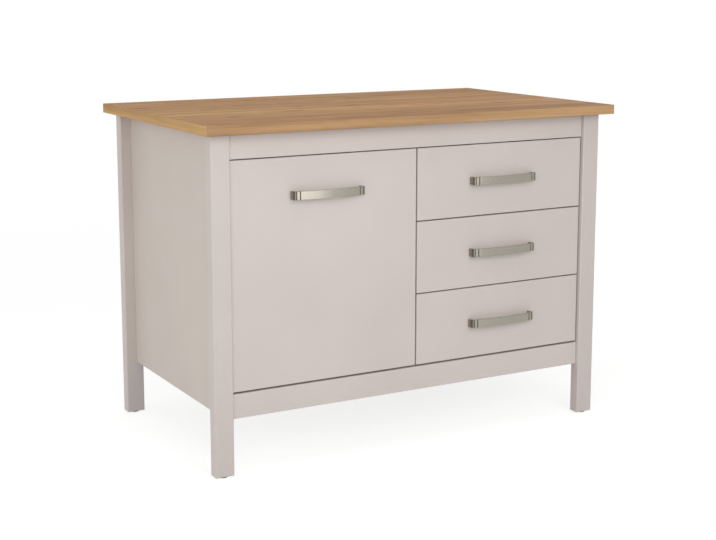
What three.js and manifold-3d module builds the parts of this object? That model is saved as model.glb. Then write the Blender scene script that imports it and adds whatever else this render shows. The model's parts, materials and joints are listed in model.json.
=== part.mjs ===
// Kitchen island unit: a painted cabinet on four legs under an oak worktop. The left bay has a hinged
// door over one shelf, and the right bay has three steel-sided drawers on roller runners.
// Millimetres. +X runs to the right, +Y to the back and +Z up. The origin is on the floor under the
// middle of the worktop, and the front of the unit faces -Y.

import * as THREE from 'three';
import { mergeVertices } from 'three/addons/utils/BufferGeometryUtils.js';
import Module from 'manifold-3d';

const wasm = await Module();
wasm.setup();

// ------------------------------------------------------------------ driving dimensions

// Clearances
const jointLine = 0.2;          // between two pieces that are fixed together
const fitClearance = 0.3;       // round a pin, a stem or a roller in its seat
const frontGap = 3;             // visible gap round the door and round each drawer front
const cushionGap = 2;           // between the back of a front and the edges of the carcass

// Worktop
const worktopLength = 1200;
const worktopDepth = 720;
const worktopThickness = 25;
const worktopEasing = 0.8;      // eased arris of the oak
const unitHeight = 870;         // floor to the top of the worktop
const overhangSide = 24;        // worktop past the outer faces of the legs
const overhangFront = 35;       // worktop past the front and back faces of the legs

// Legs and glides
const legWidth = 50;            // along X
const legDepth = 32;            // along Y
const legRounding = 3;          // radius of the long edges
const legFootBevel = 1.5;       // bevel round the bottom end
const glideHeight = 3;          // plastic disc under each leg
const glideRadius = 12;
const glideStemRadius = 3;
const glideStemLength = 14;     // stem in the bore in the end of the leg

// Painted boards: fronts, rails, sides and back
const frontRecess = 11;         // front faces behind the faces of the legs
const frontThickness = 19;
const frontEasing = 1.2;        // rounded arris of the painted boards
const bottomRailHeight = 64;
const topRailHeight = 62;
const railUnderside = 143;      // floor to the underside of the bottom rail
const sideSetback = 30;         // side panel behind the outer faces of the legs
const sideThickness = 19;
const sideRise = 3;             // side panels stop this far above the underside of the rail
const backThickness = 16;

// White boards inside
const innerThickness = 16;
const stretcherWidth = 100;

// Shelf and its pins
const shelfFrontSetback = 20;   // front edge of the shelf behind the carcass edge
const shelfBackClearance = 2;
const shelfSideClearance = 2;
const shelfHoleRadius = 2.8;
const shelfHoleDepth = 10;
const shelfHolePitch = 32;
const shelfHoleCount = 5;       // holes in each row, the middle one in use
const shelfRowInset = 75;       // rows of holes from the front and back edges of the carcass
const shelfPinRadius = 2.5;
const shelfPinCollarRadius = 4;
const shelfPinCollar = 1.5;     // collar thickness against the board
const spadeLength = 14;         // flat tongue under the shelf
const spadeWidth = 12;
const spadeThickness = 2;

// Door hinges
const pivotInset = 26;          // hinge axis from the hinged edge of the door
const pivotDepth = 10.5;        // hinge axis behind the front face of the door
const hingeFromEnd = 100;       // each hinge from the top or bottom edge of the door
const cupRadius = 17.5;
const cupWall = 1;
const cupDepth = 13;
const cupFromEdge = 5;          // web of board between the cup and the edge of the door
const flangeThickness = 1.4;
const flangeLength = 58;        // flange bar, top to bottom
const flangeWidth = 14;
const flangeScrewPitch = 45;
const flangeScrewRadius = 1.8;
const cheekWidth = 8;           // cheeks in the cup that carry the pin
const pinRadius = 1.2;
const armWidth = 12;
const armThickness = 2.4;
const armNoseRadius = 3;
const armLeaveAngle = 50;       // degrees from +X at which the arm leaves the pivot
const armSwingClearance = 3.8;  // between the arm and the swept edge of the door
const armReach = 46;            // length of the arm on its mounting plate
const armBendRadius = 3;
const plateHeight = 7;          // spine of the mounting plate, from the side panel
const plateSpineWidth = 14;
const plateWing = 2;            // thickness of the wings
const plateWingSpan = 54;
const plateWingLength = 22;
const plateScrewPitch = 32;
const plateScrewRadius = 2.2;
const bumperRadius = 3;

// Handles
const handleLength = 200;
const handleHeight = 21;
const handleProjection = 28;    // middle of the bow in front of the door
const handleShoulder = 21;      // ends of the bow in front of the door
const handleThickness = 5;      // bar
const handleFoot = 8;           // each foot along the handle
const handleCorner = 9;         // outer corner between foot and bar
const handleGroove = 0.8;       // depth of the groove beside each corner
const handleEasing = 0.9;

// Drawers
const drawerNames = ['bottom', 'middle', 'top'];
const runnerLength = 500;       // the runners, and the drawer sides that go with them
const runnerSetback = 3;        // runners behind the carcass edge
const runnerHeight = 30;
const runnerFlange = 11.5;      // reach of the channel flanges from the board
const steelGauge = 1.5;
const rollerRadius = 9;
const rollerWidth = 6.5;
const rollerAxleRadius = 3;
const rollerFromBoard = 3.5;    // rollers from the board that carries the runner
const rollerFromEnd = 12;       // roller axles from the runner's front and the drawer side's back
const sideFromBoard = 13;       // steel drawer side from the same board
const drawerSideHeight = 118;
const drawerFloorRise = 12;     // drawer side above the bottom edge of its front
const carrierTip = 3;           // outer edge of the carrier flange from the board
const floorLip = 13;            // lip under the drawer floor, with the gauge
const hemWidth = 5.5;           // folded top edge, with the gauge
const hemDrop = 6;
const frontTabWidth = 14;
const frontTabHeight = 52;
const drawerBackHeight = 84;

const roundSides = 20;          // facets round a visible turned piece
const smallSides = 8;           // facets round a small hole or pin

// ------------------------------------------------------------------ places that follow from them

const frameHalfWidth = worktopLength / 2 - overhangSide;
const frameHalfDepth = worktopDepth / 2 - overhangFront;
const worktopUnderside = unitHeight - worktopThickness;
const legInnerX = frameHalfWidth - legWidth;
const carcassFrontY = -frameHalfDepth + legDepth;
const carcassBackY = frameHalfDepth - legDepth;
const frontFaceY = -frameHalfDepth + frontRecess;
const frontBackY = frontFaceY + frontThickness;
const railBackY = frontBackY + cushionGap;
const sideOuterX = frameHalfWidth - sideSetback;
const sideInnerX = sideOuterX - sideThickness;
const floorTop = railUnderside + bottomRailHeight;
const topRailUnderside = worktopUnderside - topRailHeight;
const frontsBottom = floorTop + frontGap;
const frontsTop = topRailUnderside - frontGap;
const stretcherUnderside = worktopUnderside - innerThickness;
const partitionHalf = innerThickness / 2;
const doorLeftX = -legInnerX + frontGap;
const doorRightX = -frontGap / 2;
const drawerCount = drawerNames.length;
const drawerFrontHeight = (frontsTop - frontsBottom - (drawerCount - 1) * frontGap) / drawerCount;
const drawerPitch = drawerFrontHeight + frontGap;
const drawerCentreX = (partitionHalf + sideInnerX) / 2;
const pivotX = doorLeftX + pivotInset;
const pivotY = frontFaceY + pivotDepth;

// ------------------------------------------------------------------ finishes

const finishes = {
  paint: new THREE.MeshStandardMaterial({ color: 0xcbc2bc, roughness: 0.55, metalness: 0 }),
  oak: new THREE.MeshStandardMaterial({ color: 0xb98e66, roughness: 0.6, metalness: 0 }),
  white: new THREE.MeshStandardMaterial({ color: 0xe6e4df, roughness: 0.5, metalness: 0 }),
  nickel: new THREE.MeshStandardMaterial({ color: 0xb3ac9c, roughness: 0.35, metalness: 1 }),
  zinc: new THREE.MeshStandardMaterial({ color: 0xa9abad, roughness: 0.4, metalness: 1 }),
  drawerSteel: new THREE.MeshStandardMaterial({ color: 0xd9dadb, roughness: 0.45, metalness: 0.1 }),
  glide: new THREE.MeshStandardMaterial({ color: 0x4a4744, roughness: 0.7, metalness: 0 }),
  bumper: new THREE.MeshStandardMaterial({ color: 0xd8dad8, roughness: 0.3, metalness: 0 }),
};

// ------------------------------------------------------------------ shaping helpers

// A closed geometry as a solid for joining and cutting.
function solidOf(geometry) {
  const bare = geometry.clone();
  bare.deleteAttribute('normal');
  bare.deleteAttribute('uv');
  const welded = mergeVertices(bare);
  const vertProperties = new Float32Array(welded.attributes.position.array);
  const triVerts = new Uint32Array(welded.index.array);
  return new wasm.Manifold(new wasm.Mesh({ numProp: 3, vertProperties, triVerts }));
}

// A joined or cut solid as geometry again.
function geometryOf(solid) {
  const { vertProperties, triVerts } = solid.getMesh();
  const geometry = new THREE.BufferGeometry();
  geometry.setAttribute('position', new THREE.BufferAttribute(vertProperties, 3));
  geometry.setIndex(new THREE.BufferAttribute(triVerts, 1));
  geometry.computeVertexNormals();
  return geometry;
}

// One geometry from several that overlap, less the ones that are cut away.
function carve(joined, cutters) {
  let solid = joined.map(solidOf).reduce((whole, next) => whole.add(next));
  for (const cutter of cutters) {
    solid = solid.subtract(solidOf(cutter));
  }
  return geometryOf(solid);
}

function meshOf(name, geometry, finish, x = 0, y = 0, z = 0) {
  const mesh = new THREE.Mesh(geometry, finish);
  mesh.name = name;
  mesh.position.set(x, y, z);
  return mesh;
}

// A shape through [a, b] points.
function outline(points) {
  return new THREE.Shape(points.map(([a, b]) => new THREE.Vector2(a, b)));
}

// A centred rectangle with rounded corners.
function roundedRectangle(width, height, radius) {
  const x = width / 2;
  const y = height / 2;
  const shape = new THREE.Shape();
  shape.moveTo(-x + radius, -y);
  shape.absarc(x - radius, -y + radius, radius, -Math.PI / 2, 0);
  shape.absarc(x - radius, y - radius, radius, 0, Math.PI / 2);
  shape.absarc(-x + radius, y - radius, radius, Math.PI / 2, Math.PI);
  shape.absarc(-x + radius, -y + radius, radius, Math.PI, Math.PI * 1.5);
  shape.closePath();
  return shape;
}

// A shape drawn in X and Y and given a length along Z, centred, with its end edges rounded by easing.
function prism(shape, length, easing = 0, curveSegments = 3) {
  const bevel = {
    bevelEnabled: easing > 0,
    bevelSize: easing,
    bevelOffset: -easing,
    bevelThickness: easing,
    bevelSegments: 2,
  };
  const straight = length - 2 * easing;
  const geometry = new THREE.ExtrudeGeometry(shape, { depth: straight, curveSegments, ...bevel });
  return geometry.translate(0, 0, -straight / 2);
}

// Turns a prism so that its length lies along X or Y and its shape stays upright.
const upright = {
  x: new THREE.Matrix4().makeBasis(
    new THREE.Vector3(0, 1, 0), new THREE.Vector3(0, 0, 1), new THREE.Vector3(1, 0, 0)),
  y: new THREE.Matrix4().makeBasis(
    new THREE.Vector3(1, 0, 0), new THREE.Vector3(0, 0, 1), new THREE.Vector3(0, -1, 0)),
};

// A cylinder along X, Y or Z, centred.
function rod(axis, radius, length, sides = smallSides) {
  const geometry = new THREE.CylinderGeometry(radius, radius, length, sides);
  if (axis === 'x') {
    return geometry.rotateZ(Math.PI / 2);
  }
  if (axis === 'z') {
    return geometry.rotateX(Math.PI / 2);
  }
  return geometry;
}

// A board that fills the space between three pairs of planes, less half a joint line at each face.
// The outline is cut across its thinnest direction, and its face edges are eased.
function board(x, y, z, easing = 0) {
  const [width, depth, height] = [x, y, z].map(([low, high]) => high - low - jointLine);
  const thinnest = Math.min(width, depth, height);
  let geometry;
  if (thinnest === height) {
    geometry = prism(rectangle(width, depth), height, easing);
  } else if (thinnest === depth) {
    geometry = prism(rectangle(width, height), depth, easing).applyMatrix4(upright.y);
  } else {
    geometry = prism(rectangle(depth, height), width, easing).applyMatrix4(upright.x);
  }
  return geometry.translate(middle(x), middle(y), middle(z));
}

function rectangle(width, height) {
  const x = width / 2;
  const y = height / 2;
  return outline([[-x, -y], [x, -y], [x, y], [-x, y]]);
}

function middle([low, high]) {
  return (low + high) / 2;
}

// A strip of one thickness that follows a line of corners, with each bend rounded.
function bentStrip(corners, thickness, bendRadius) {
  const line = new THREE.CurvePath();
  const points = corners.map(([a, b]) => new THREE.Vector2(a, b));
  let from = points[0];
  for (let i = 1; i < points.length - 1; i += 1) {
    const towards = points[i].clone().sub(points[i - 1]).setLength(bendRadius);
    const away = points[i + 1].clone().sub(points[i]).setLength(bendRadius);
    const start = points[i].clone().sub(towards);
    const end = points[i].clone().add(away);
    line.add(new THREE.LineCurve(from, start));
    line.add(new THREE.QuadraticBezierCurve(start, points[i], end));
    from = end;
  }
  line.add(new THREE.LineCurve(from, points[points.length - 1]));
  const centre = [];
  for (const curve of line.curves) {
    const steps = curve.isLineCurve ? 1 : 4;
    for (let step = 0; step < steps; step += 1) {
      centre.push([curve.getPoint(step / steps), curve.getTangent(step / steps)]);
    }
  }
  const last = line.curves[line.curves.length - 1];
  centre.push([last.getPoint(1), last.getTangent(1)]);
  const side = (reach) => centre.map(([p, t]) => [p.x - t.y * reach, p.y + t.x * reach]);
  return outline([...side(-thickness / 2), ...side(thickness / 2).reverse()]);
}

// ------------------------------------------------------------------ worktop, legs and glides

function worktop() {
  const plate = prism(rectangle(worktopLength, worktopDepth), worktopThickness, worktopEasing);
  return meshOf('worktop', plate, finishes.oak, 0, 0, unitHeight - worktopThickness / 2);
}

// A leg stands on its glide: rounded long edges, a bevelled foot and a bore for the glide's stem.
function legGeometry() {
  const length = worktopUnderside - jointLine - glideHeight - jointLine;
  const rounded = roundedRectangle(legWidth, legDepth, legRounding);
  const post = prism(rounded, length + legFootBevel, legFootBevel);
  post.translate(0, 0, (length + legFootBevel) / 2);
  const above = prism(rectangle(legWidth * 2, legDepth * 2), legFootBevel * 2);
  above.translate(0, 0, length + legFootBevel);
  const bore = rod('z', glideStemRadius + fitClearance, 2 * (glideStemLength + fitClearance));
  return carve([post], [above, bore]);
}

function glideGeometry() {
  const disc = glideHeight;
  const tip = glideHeight + glideStemLength - jointLine;
  const profile = [
    [0, 0], [glideRadius - 1, 0], [glideRadius, 1], [glideRadius, disc],
    [glideStemRadius, disc], [glideStemRadius, tip - 1], [glideStemRadius - 1, tip], [0, tip],
  ];
  const points = profile.map(([radius, height]) => new THREE.Vector2(radius, height));
  return new THREE.LatheGeometry(points, roundSides).rotateX(Math.PI / 2);
}

function legs() {
  const group = new THREE.Group();
  const leg = legGeometry();
  const glide = glideGeometry();
  for (const [depthName, depthSide] of [['front', -1], ['back', 1]]) {
    for (const [widthName, widthSide] of [['left', -1], ['right', 1]]) {
      const corner = new THREE.Group();
      const x = widthSide * (frameHalfWidth - legWidth / 2);
      const y = depthSide * (frameHalfDepth - legDepth / 2);
      corner.position.set(x, y, 0);
      const place = `${depthName}_${widthName}`;
      corner.add(meshOf(`leg_${place}`, leg, finishes.paint, 0, 0, glideHeight + jointLine));
      corner.add(meshOf(`glide_${place}`, glide, finishes.glide));
      group.add(corner);
    }
  }
  return group;
}

// ------------------------------------------------------------------ fixed boards

// Rows of blind holes for the shelf pins, in the face of an upright board at x.
function shelfHoles(faceX, into) {
  const cutters = [];
  for (const y of shelfRows()) {
    for (let i = 0; i < shelfHoleCount; i += 1) {
      const z = shelfPinZ() + (i - (shelfHoleCount - 1) / 2) * shelfHolePitch;
      const hole = rod('x', shelfHoleRadius, 2 * shelfHoleDepth);
      cutters.push(hole.translate(faceX, y, z));
    }
  }
  return cutters;
}

function shelfRows() {
  return [carcassFrontY + shelfRowInset, carcassBackY - shelfRowInset];
}

// The shelf pins in use are halfway up the bay.
function shelfPinZ() {
  return (floorTop + stretcherUnderside) / 2;
}

function carcass() {
  const group = new THREE.Group();
  const between = [-legInnerX, legInnerX];
  const inside = [-sideInnerX, sideInnerX];
  const deep = [carcassFrontY, carcassBackY];
  const rail = [frontFaceY, railBackY];
  const add = (name, geometry, finish) => group.add(meshOf(name, geometry, finish));

  const topRail = board(between, rail, [topRailUnderside, worktopUnderside], frontEasing);
  const bottomRail = board(between, rail, [railUnderside, floorTop], frontEasing);
  add('top_rail', topRail, finishes.paint);
  add('bottom_rail', bottomRail, finishes.paint);

  const panelHeight = [railUnderside + sideRise, worktopUnderside];
  const leftPanel = board([-sideOuterX, -sideInnerX], deep, panelHeight, frontEasing);
  const rightPanel = board([sideInnerX, sideOuterX], deep, panelHeight, frontEasing);
  add('side_panel_left', carve([leftPanel], shelfHoles(-sideInnerX)), finishes.paint);
  add('side_panel_right', rightPanel, finishes.paint);

  const backSpan = [carcassBackY, carcassBackY + backThickness];
  add('back_panel', board(between, backSpan, panelHeight, frontEasing), finishes.paint);

  const floor = [floorTop - innerThickness, floorTop];
  add('bottom_panel', board(inside, deep, floor), finishes.white);

  const upright = [-partitionHalf, partitionHalf];
  const partition = board(upright, deep, [floorTop, stretcherUnderside]);
  add('partition', carve([partition], shelfHoles(-partitionHalf)), finishes.white);

  const stretcher = [stretcherUnderside, worktopUnderside];
  const frontStretcher = [carcassFrontY, carcassFrontY + stretcherWidth];
  const backStretcher = [carcassBackY - stretcherWidth, carcassBackY];
  add('stretcher_front', board(inside, frontStretcher, stretcher), finishes.white);
  add('stretcher_back', board(inside, backStretcher, stretcher), finishes.white);
  return group;
}

// ------------------------------------------------------------------ shelf on four pins

// A pin lies along +X from the face of its board: stub in the hole, collar and flat spade.
function shelfPinGeometry() {
  const stub = rod('x', shelfPinRadius, shelfHoleDepth - fitClearance);
  stub.translate(-(shelfHoleDepth - fitClearance) / 2 + shelfPinCollar / 2, 0, 0);
  const collar = rod('x', shelfPinCollarRadius, shelfPinCollar);
  collar.translate(jointLine + shelfPinCollar / 2, 0, 0);
  const spade = prism(roundedRectangle(spadeLength, spadeWidth, 3), spadeThickness);
  spade.translate(spadeLength / 2 + jointLine, 0, shelfPinRadius - spadeThickness / 2);
  return carve([stub, collar, spade], []);
}

function shelf() {
  const group = new THREE.Group();
  const seatZ = shelfPinZ() + shelfPinRadius;
  const x = [-sideInnerX + shelfSideClearance, -partitionHalf - shelfSideClearance];
  const y = [carcassFrontY + shelfFrontSetback, carcassBackY - shelfBackClearance];
  const shelfBoard = board(x, y, [seatZ, seatZ + innerThickness]);
  group.add(meshOf('shelf', shelfBoard, finishes.white));
  const pin = shelfPinGeometry();
  const sides = [['left', -sideInnerX, 0], ['right', -partitionHalf, Math.PI]];
  shelfRows().forEach((rowY, row) => {
    for (const [sideName, faceX, turn] of sides) {
      const name = `shelf_pin_${['front', 'back'][row]}_${sideName}`;
      const mesh = meshOf(name, pin, finishes.zinc, faceX, rowY, shelfPinZ());
      mesh.rotation.z = turn;
      group.add(mesh);
    }
  });
  return group;
}

// ------------------------------------------------------------------ handles

// Seen from above, with y as the distance from the front: two feet and a bowed bar between them.
function handleShape() {
  const half = handleLength / 2;
  const shoulderX = half - handleCorner;
  const rise = handleProjection - handleShoulder;
  const bow = (shoulderX ** 2 + rise ** 2) / (2 * rise);
  const centreY = handleProjection - bow;
  const innerBow = bow - handleThickness;
  const footX = half - handleFoot;
  const innerX = footX - handleCorner / 2;
  const bowY = (radius, x) => centreY + Math.sqrt(radius ** 2 - x ** 2);
  const sweep = Math.asin(shoulderX / bow);
  const innerSweep = Math.asin(innerX / innerBow);
  const grooveX = shoulderX - handleGroove;
  const grooveSweep = Math.asin((grooveX - handleGroove) / bow);
  const shape = new THREE.Shape();
  shape.moveTo(half, jointLine);
  shape.lineTo(half, handleShoulder - handleCorner);
  shape.quadraticCurveTo(half, handleShoulder, shoulderX, bowY(bow, shoulderX));
  shape.lineTo(grooveX, bowY(bow, grooveX) - handleGroove);
  shape.absarc(0, centreY, bow, Math.PI / 2 - grooveSweep, Math.PI / 2 + grooveSweep);
  shape.lineTo(-grooveX, bowY(bow, grooveX) - handleGroove);
  shape.lineTo(-shoulderX, bowY(bow, shoulderX));
  shape.quadraticCurveTo(-half, handleShoulder, -half, handleShoulder - handleCorner);
  shape.lineTo(-half, jointLine);
  shape.lineTo(-footX, jointLine);
  shape.lineTo(-footX, bowY(innerBow, innerX) - handleCorner / 2);
  shape.quadraticCurveTo(-footX, bowY(innerBow, innerX), -innerX, bowY(innerBow, innerX));
  shape.absarc(0, centreY, innerBow, Math.PI / 2 + innerSweep, Math.PI / 2 - innerSweep, true);
  shape.quadraticCurveTo(footX, bowY(innerBow, innerX), footX, bowY(innerBow, innerX) - handleCorner / 2);
  shape.lineTo(footX, jointLine);
  shape.closePath();
  return shape;
}

const handleGeometry = prism(handleShape(), handleHeight, handleEasing, 5).rotateX(Math.PI);

function handle(name, x, z) {
  return meshOf(name, handleGeometry, finishes.nickel, x, frontFaceY, z);
}

function drawerFrontBottom(row) {
  return frontsBottom + row * drawerPitch;
}

// Handles sit in the middle of the drawer fronts, and the door's is level with the top one.
function handleZ(row) {
  return drawerFrontBottom(row) + drawerFrontHeight / 2;
}

// ------------------------------------------------------------------ door and its cup hinges

// The hinge pieces are drawn round the hinge axis: x to the right, y to the back, z up from the
// middle of the hinge.
const cupX = cupFromEdge + cupRadius - pivotInset;
const cupMouthY = frontThickness - pivotDepth;
const cupBottomY = cupMouthY - cupDepth;

function hingeCup() {
  const floorLevel = cupWall;
  const bore = cupRadius - cupWall;
  const rim = cupDepth + flangeThickness;
  const profile = [
    [0, 0], [cupRadius - 0.5, 0], [cupRadius, 0.5], [cupRadius, cupDepth + jointLine],
    [cupRadius + 1.5, cupDepth + jointLine], [cupRadius + 1.5, rim],
    [bore, rim], [bore, floorLevel], [0, floorLevel],
  ];
  const points = profile.map(([radius, height]) => new THREE.Vector2(radius, height));
  const shell = new THREE.LatheGeometry(points, roundSides).translate(cupX, cupBottomY, 0);

  const bar = roundedRectangle(flangeWidth, flangeLength, flangeWidth / 2.5);
  const flange = prism(bar, flangeThickness - jointLine).applyMatrix4(upright.y);
  const flangeX = cupX + flangeWidth / 2;
  flange.translate(flangeX, cupMouthY + (flangeThickness + jointLine) / 2, 0);

  const hollow = rod('y', bore, cupDepth, roundSides).translate(cupX, cupMouthY + cupWall, 0);
  const cheekInner = armWidth / 2 + fitClearance;
  const cheekOuter = cupRadius;
  const cheekTop = pinRadius + fitClearance + cupWall;
  const cheekY = [cupBottomY + cupWall / 2, cheekTop];
  const cheeks = [1, -1].map((side) => {
    const shape = rectangle(cheekWidth, cheekOuter - cheekInner);
    const cheek = prism(shape, cheekY[1] - cheekY[0]).applyMatrix4(upright.y);
    cheek.translate(0, middle(cheekY), side * (cheekInner + cheekOuter) / 2);
    const within = rod('y', bore + cupWall / 2, 2 * cupDepth, roundSides).translate(cupX, cupBottomY, 0);
    return geometryOf(solidOf(cheek).intersect(solidOf(within)));
  });
  const screws = [1, -1].map((side) => {
    const hole = rod('y', flangeScrewRadius, flangeThickness * 4);
    return hole.translate(flangeX, cupMouthY, side * flangeScrewPitch / 2);
  });
  const rimPart = carve([shell, flange], [hollow, ...screws]);
  return carve([rimPart, ...cheeks], [pinBore()]);
}

function pinBore() {
  return rod('z', pinRadius + fitClearance, 4 * cupRadius);
}

function hingePin() {
  return rod('z', pinRadius, 2 * (cupRadius - cupWall - cupWall));
}

// The gooseneck arm leaves the cup past the edge of the door, goes round the space that the edge
// sweeps, and lies on the mounting plate.
function hingeArm() {
  const swing = Math.hypot(pivotInset, pivotDepth);
  const leave = THREE.MathUtils.degToRad(armLeaveAngle);
  const elbow = swing + armThickness / 2;
  const passY = swing + armSwingClearance + armThickness / 2;
  const plateFaceX = -sideInnerX - pivotX + plateHeight;
  const armX = plateFaceX + jointLine + armThickness / 2;
  const elbowX = elbow * Math.cos(leave);
  const corners = [
    [0, 0],
    [elbowX, elbow * Math.sin(leave)],
    [elbowX, passY],
    [armX, passY],
    [armX, passY + armReach],
  ];
  const strip = prism(bentStrip(corners, armThickness, armBendRadius), armWidth);
  const nose = rod('z', armNoseRadius, armWidth, roundSides);
  return carve([strip, nose], [pinBore()]);
}

function hingePlate() {
  const swing = Math.hypot(pivotInset, pivotDepth);
  const start = swing + armSwingClearance + armThickness + armBendRadius;
  const end = start + armReach;
  const panelX = -sideInnerX - pivotX + jointLine;
  const spineShape = roundedRectangle(end - start, plateSpineWidth, 2);
  const spine = prism(spineShape, plateHeight - jointLine).applyMatrix4(upright.x);
  spine.translate(panelX + (plateHeight - jointLine) / 2, (start + end) / 2, 0);
  const wingShape = roundedRectangle(plateWingLength, plateWingSpan, 5);
  const wings = prism(wingShape, plateWing).applyMatrix4(upright.x);
  wings.translate(panelX + plateWing / 2, (start + end) / 2, 0);
  const screws = [1, -1].map((side) => {
    const hole = rod('x', plateScrewRadius, plateWing * 4);
    return hole.translate(panelX, (start + end) / 2, side * plateScrewPitch / 2);
  });
  return carve([spine, wings], screws);
}

function bumperGeometry() {
  const thickness = cushionGap - 2 * jointLine;
  const profile = [
    [0, 0], [bumperRadius, 0], [bumperRadius, thickness / 2], [bumperRadius / 2, thickness], [0, thickness],
  ];
  return new THREE.LatheGeometry(profile.map(([r, h]) => new THREE.Vector2(r, h)), smallSides);
}

function hingeHeights() {
  return [['lower', frontsBottom + hingeFromEnd], ['upper', frontsTop - hingeFromEnd]];
}

function door() {
  const group = new THREE.Group();
  const space = [[doorLeftX, doorRightX], [frontFaceY, frontBackY], [frontsBottom, frontsTop]];
  const slab = boardExact(...space, frontEasing);
  const cups = hingeHeights().map(([, z]) => {
    const cut = rod('y', cupRadius + jointLine, cupDepth * 2 + 2 * jointLine, roundSides);
    return cut.translate(pivotX + cupX, frontBackY, z);
  });
  group.add(meshOf('door_panel', carve([slab], cups), finishes.paint));
  group.add(handle('door_handle', middle([doorLeftX, doorRightX]), handleZ(drawerCount - 1)));
  for (const [place, z] of hingeHeights()) {
    const hinge = new THREE.Group();
    hinge.position.set(pivotX, pivotY, z);
    hinge.add(meshOf(`hinge_cup_${place}`, hingeCup(), finishes.zinc));
    hinge.add(meshOf(`hinge_pin_${place}`, hingePin(), finishes.zinc));
    hinge.add(meshOf(`hinge_arm_${place}`, hingeArm(), finishes.zinc));
    hinge.add(meshOf(`hinge_plate_${place}`, hingePlate(), finishes.zinc));
    group.add(hinge);
  }
  const bumper = bumperGeometry();
  const bumperX = (-partitionHalf + doorRightX) / 2;
  for (const [place, z] of hingeHeights()) {
    const name = `door_bumper_${place}`;
    group.add(meshOf(name, bumper, finishes.bumper, bumperX, frontBackY + jointLine, z));
  }
  return group;
}

// A board at its full size, for the door and the drawer fronts, which have air round them.
function boardExact(x, y, z, easing) {
  const grow = ([low, high]) => [low - jointLine / 2, high + jointLine / 2];
  return board(grow(x), grow(y), grow(z), easing);
}

// ------------------------------------------------------------------ drawers and their runners

// Runner and drawer-side profiles are drawn from the board that carries the runner: a is the distance
// from the board, and b the height from the middle of the runner. side is 1 where +X leads away from
// the board.
const channelFloor = -runnerHeight / 2 + steelGauge;
const rollerZ = channelFloor + fitClearance + rollerRadius;
const carrierBottom = rollerZ + rollerRadius + fitClearance;
const sideBottom = -runnerHeight / 2 - 1;

function profilePrism(points, side, length) {
  const shape = outline(points.map(([a, b]) => [side * a, b]));
  return prism(shape, length).applyMatrix4(upright.y);
}

function roller(side, y) {
  const wheel = rod('x', rollerRadius, rollerWidth, roundSides);
  return wheel.translate(side * (rollerFromBoard + rollerWidth / 2), y, rollerZ);
}

function axle(side, from, to, y) {
  const pin = rod('x', rollerAxleRadius, to - from);
  return pin.translate(side * (from + to) / 2, y, rollerZ);
}

// C-shaped channel along the board with a roller at its front end.
function runnerGeometry(side) {
  const h = runnerHeight / 2;
  const inner = h - steelGauge;
  const profile = [
    [jointLine, -h], [runnerFlange, -h], [runnerFlange, -inner], [steelGauge, -inner],
    [steelGauge, inner], [runnerFlange, inner], [runnerFlange, h], [jointLine, h],
  ];
  const channel = profilePrism(profile, side, runnerLength);
  const frontY = -runnerLength / 2 + rollerFromEnd;
  const hub = axle(side, steelGauge / 2, rollerFromBoard + rollerWidth / 2, frontY);
  return carve([channel, roller(side, frontY), hub], []);
}

// Steel drawer side: wall with a folded hem, a carrier flange that rolls on the runner's roller, a lip
// under the drawer floor, a tab on the drawer front and a roller at the back end.
function drawerSideGeometry(side) {
  const outer = sideFromBoard;
  const inner = outer + steelGauge;
  const top = sideBottom + drawerSideHeight;
  const hemX = inner - hemWidth;
  const carrierTop = carrierBottom + steelGauge;
  const lipTop = sideBottom + steelGauge;
  const profile = [
    [outer, sideBottom], [outer + floorLip, sideBottom], [outer + floorLip, lipTop], [inner, lipTop],
    [inner, top], [hemX, top], [hemX, top - hemDrop], [hemX + steelGauge, top - hemDrop],
    [hemX + steelGauge, top - steelGauge], [outer, top - steelGauge],
    [outer, carrierTop], [carrierTip, carrierTop], [carrierTip, carrierBottom], [outer, carrierBottom],
  ];
  const wall = profilePrism(profile, side, runnerLength);
  const backY = runnerLength / 2 - rollerFromEnd;
  const hub = axle(side, rollerFromBoard + rollerWidth / 2, outer + steelGauge / 2, backY);
  const tabShape = roundedRectangle(frontTabWidth, frontTabHeight, 3);
  const tab = prism(tabShape, steelGauge).applyMatrix4(upright.y);
  const tabX = side * (outer + frontTabWidth / 2);
  const tabZ = drawerFloorTop() + frontTabHeight / 2 + jointLine;
  tab.translate(tabX, -runnerLength / 2 + steelGauge / 2, tabZ);
  return carve([wall, roller(side, backY), hub, tab], []);
}

function drawerFloorTop() {
  return sideBottom + steelGauge + innerThickness;
}

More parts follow.
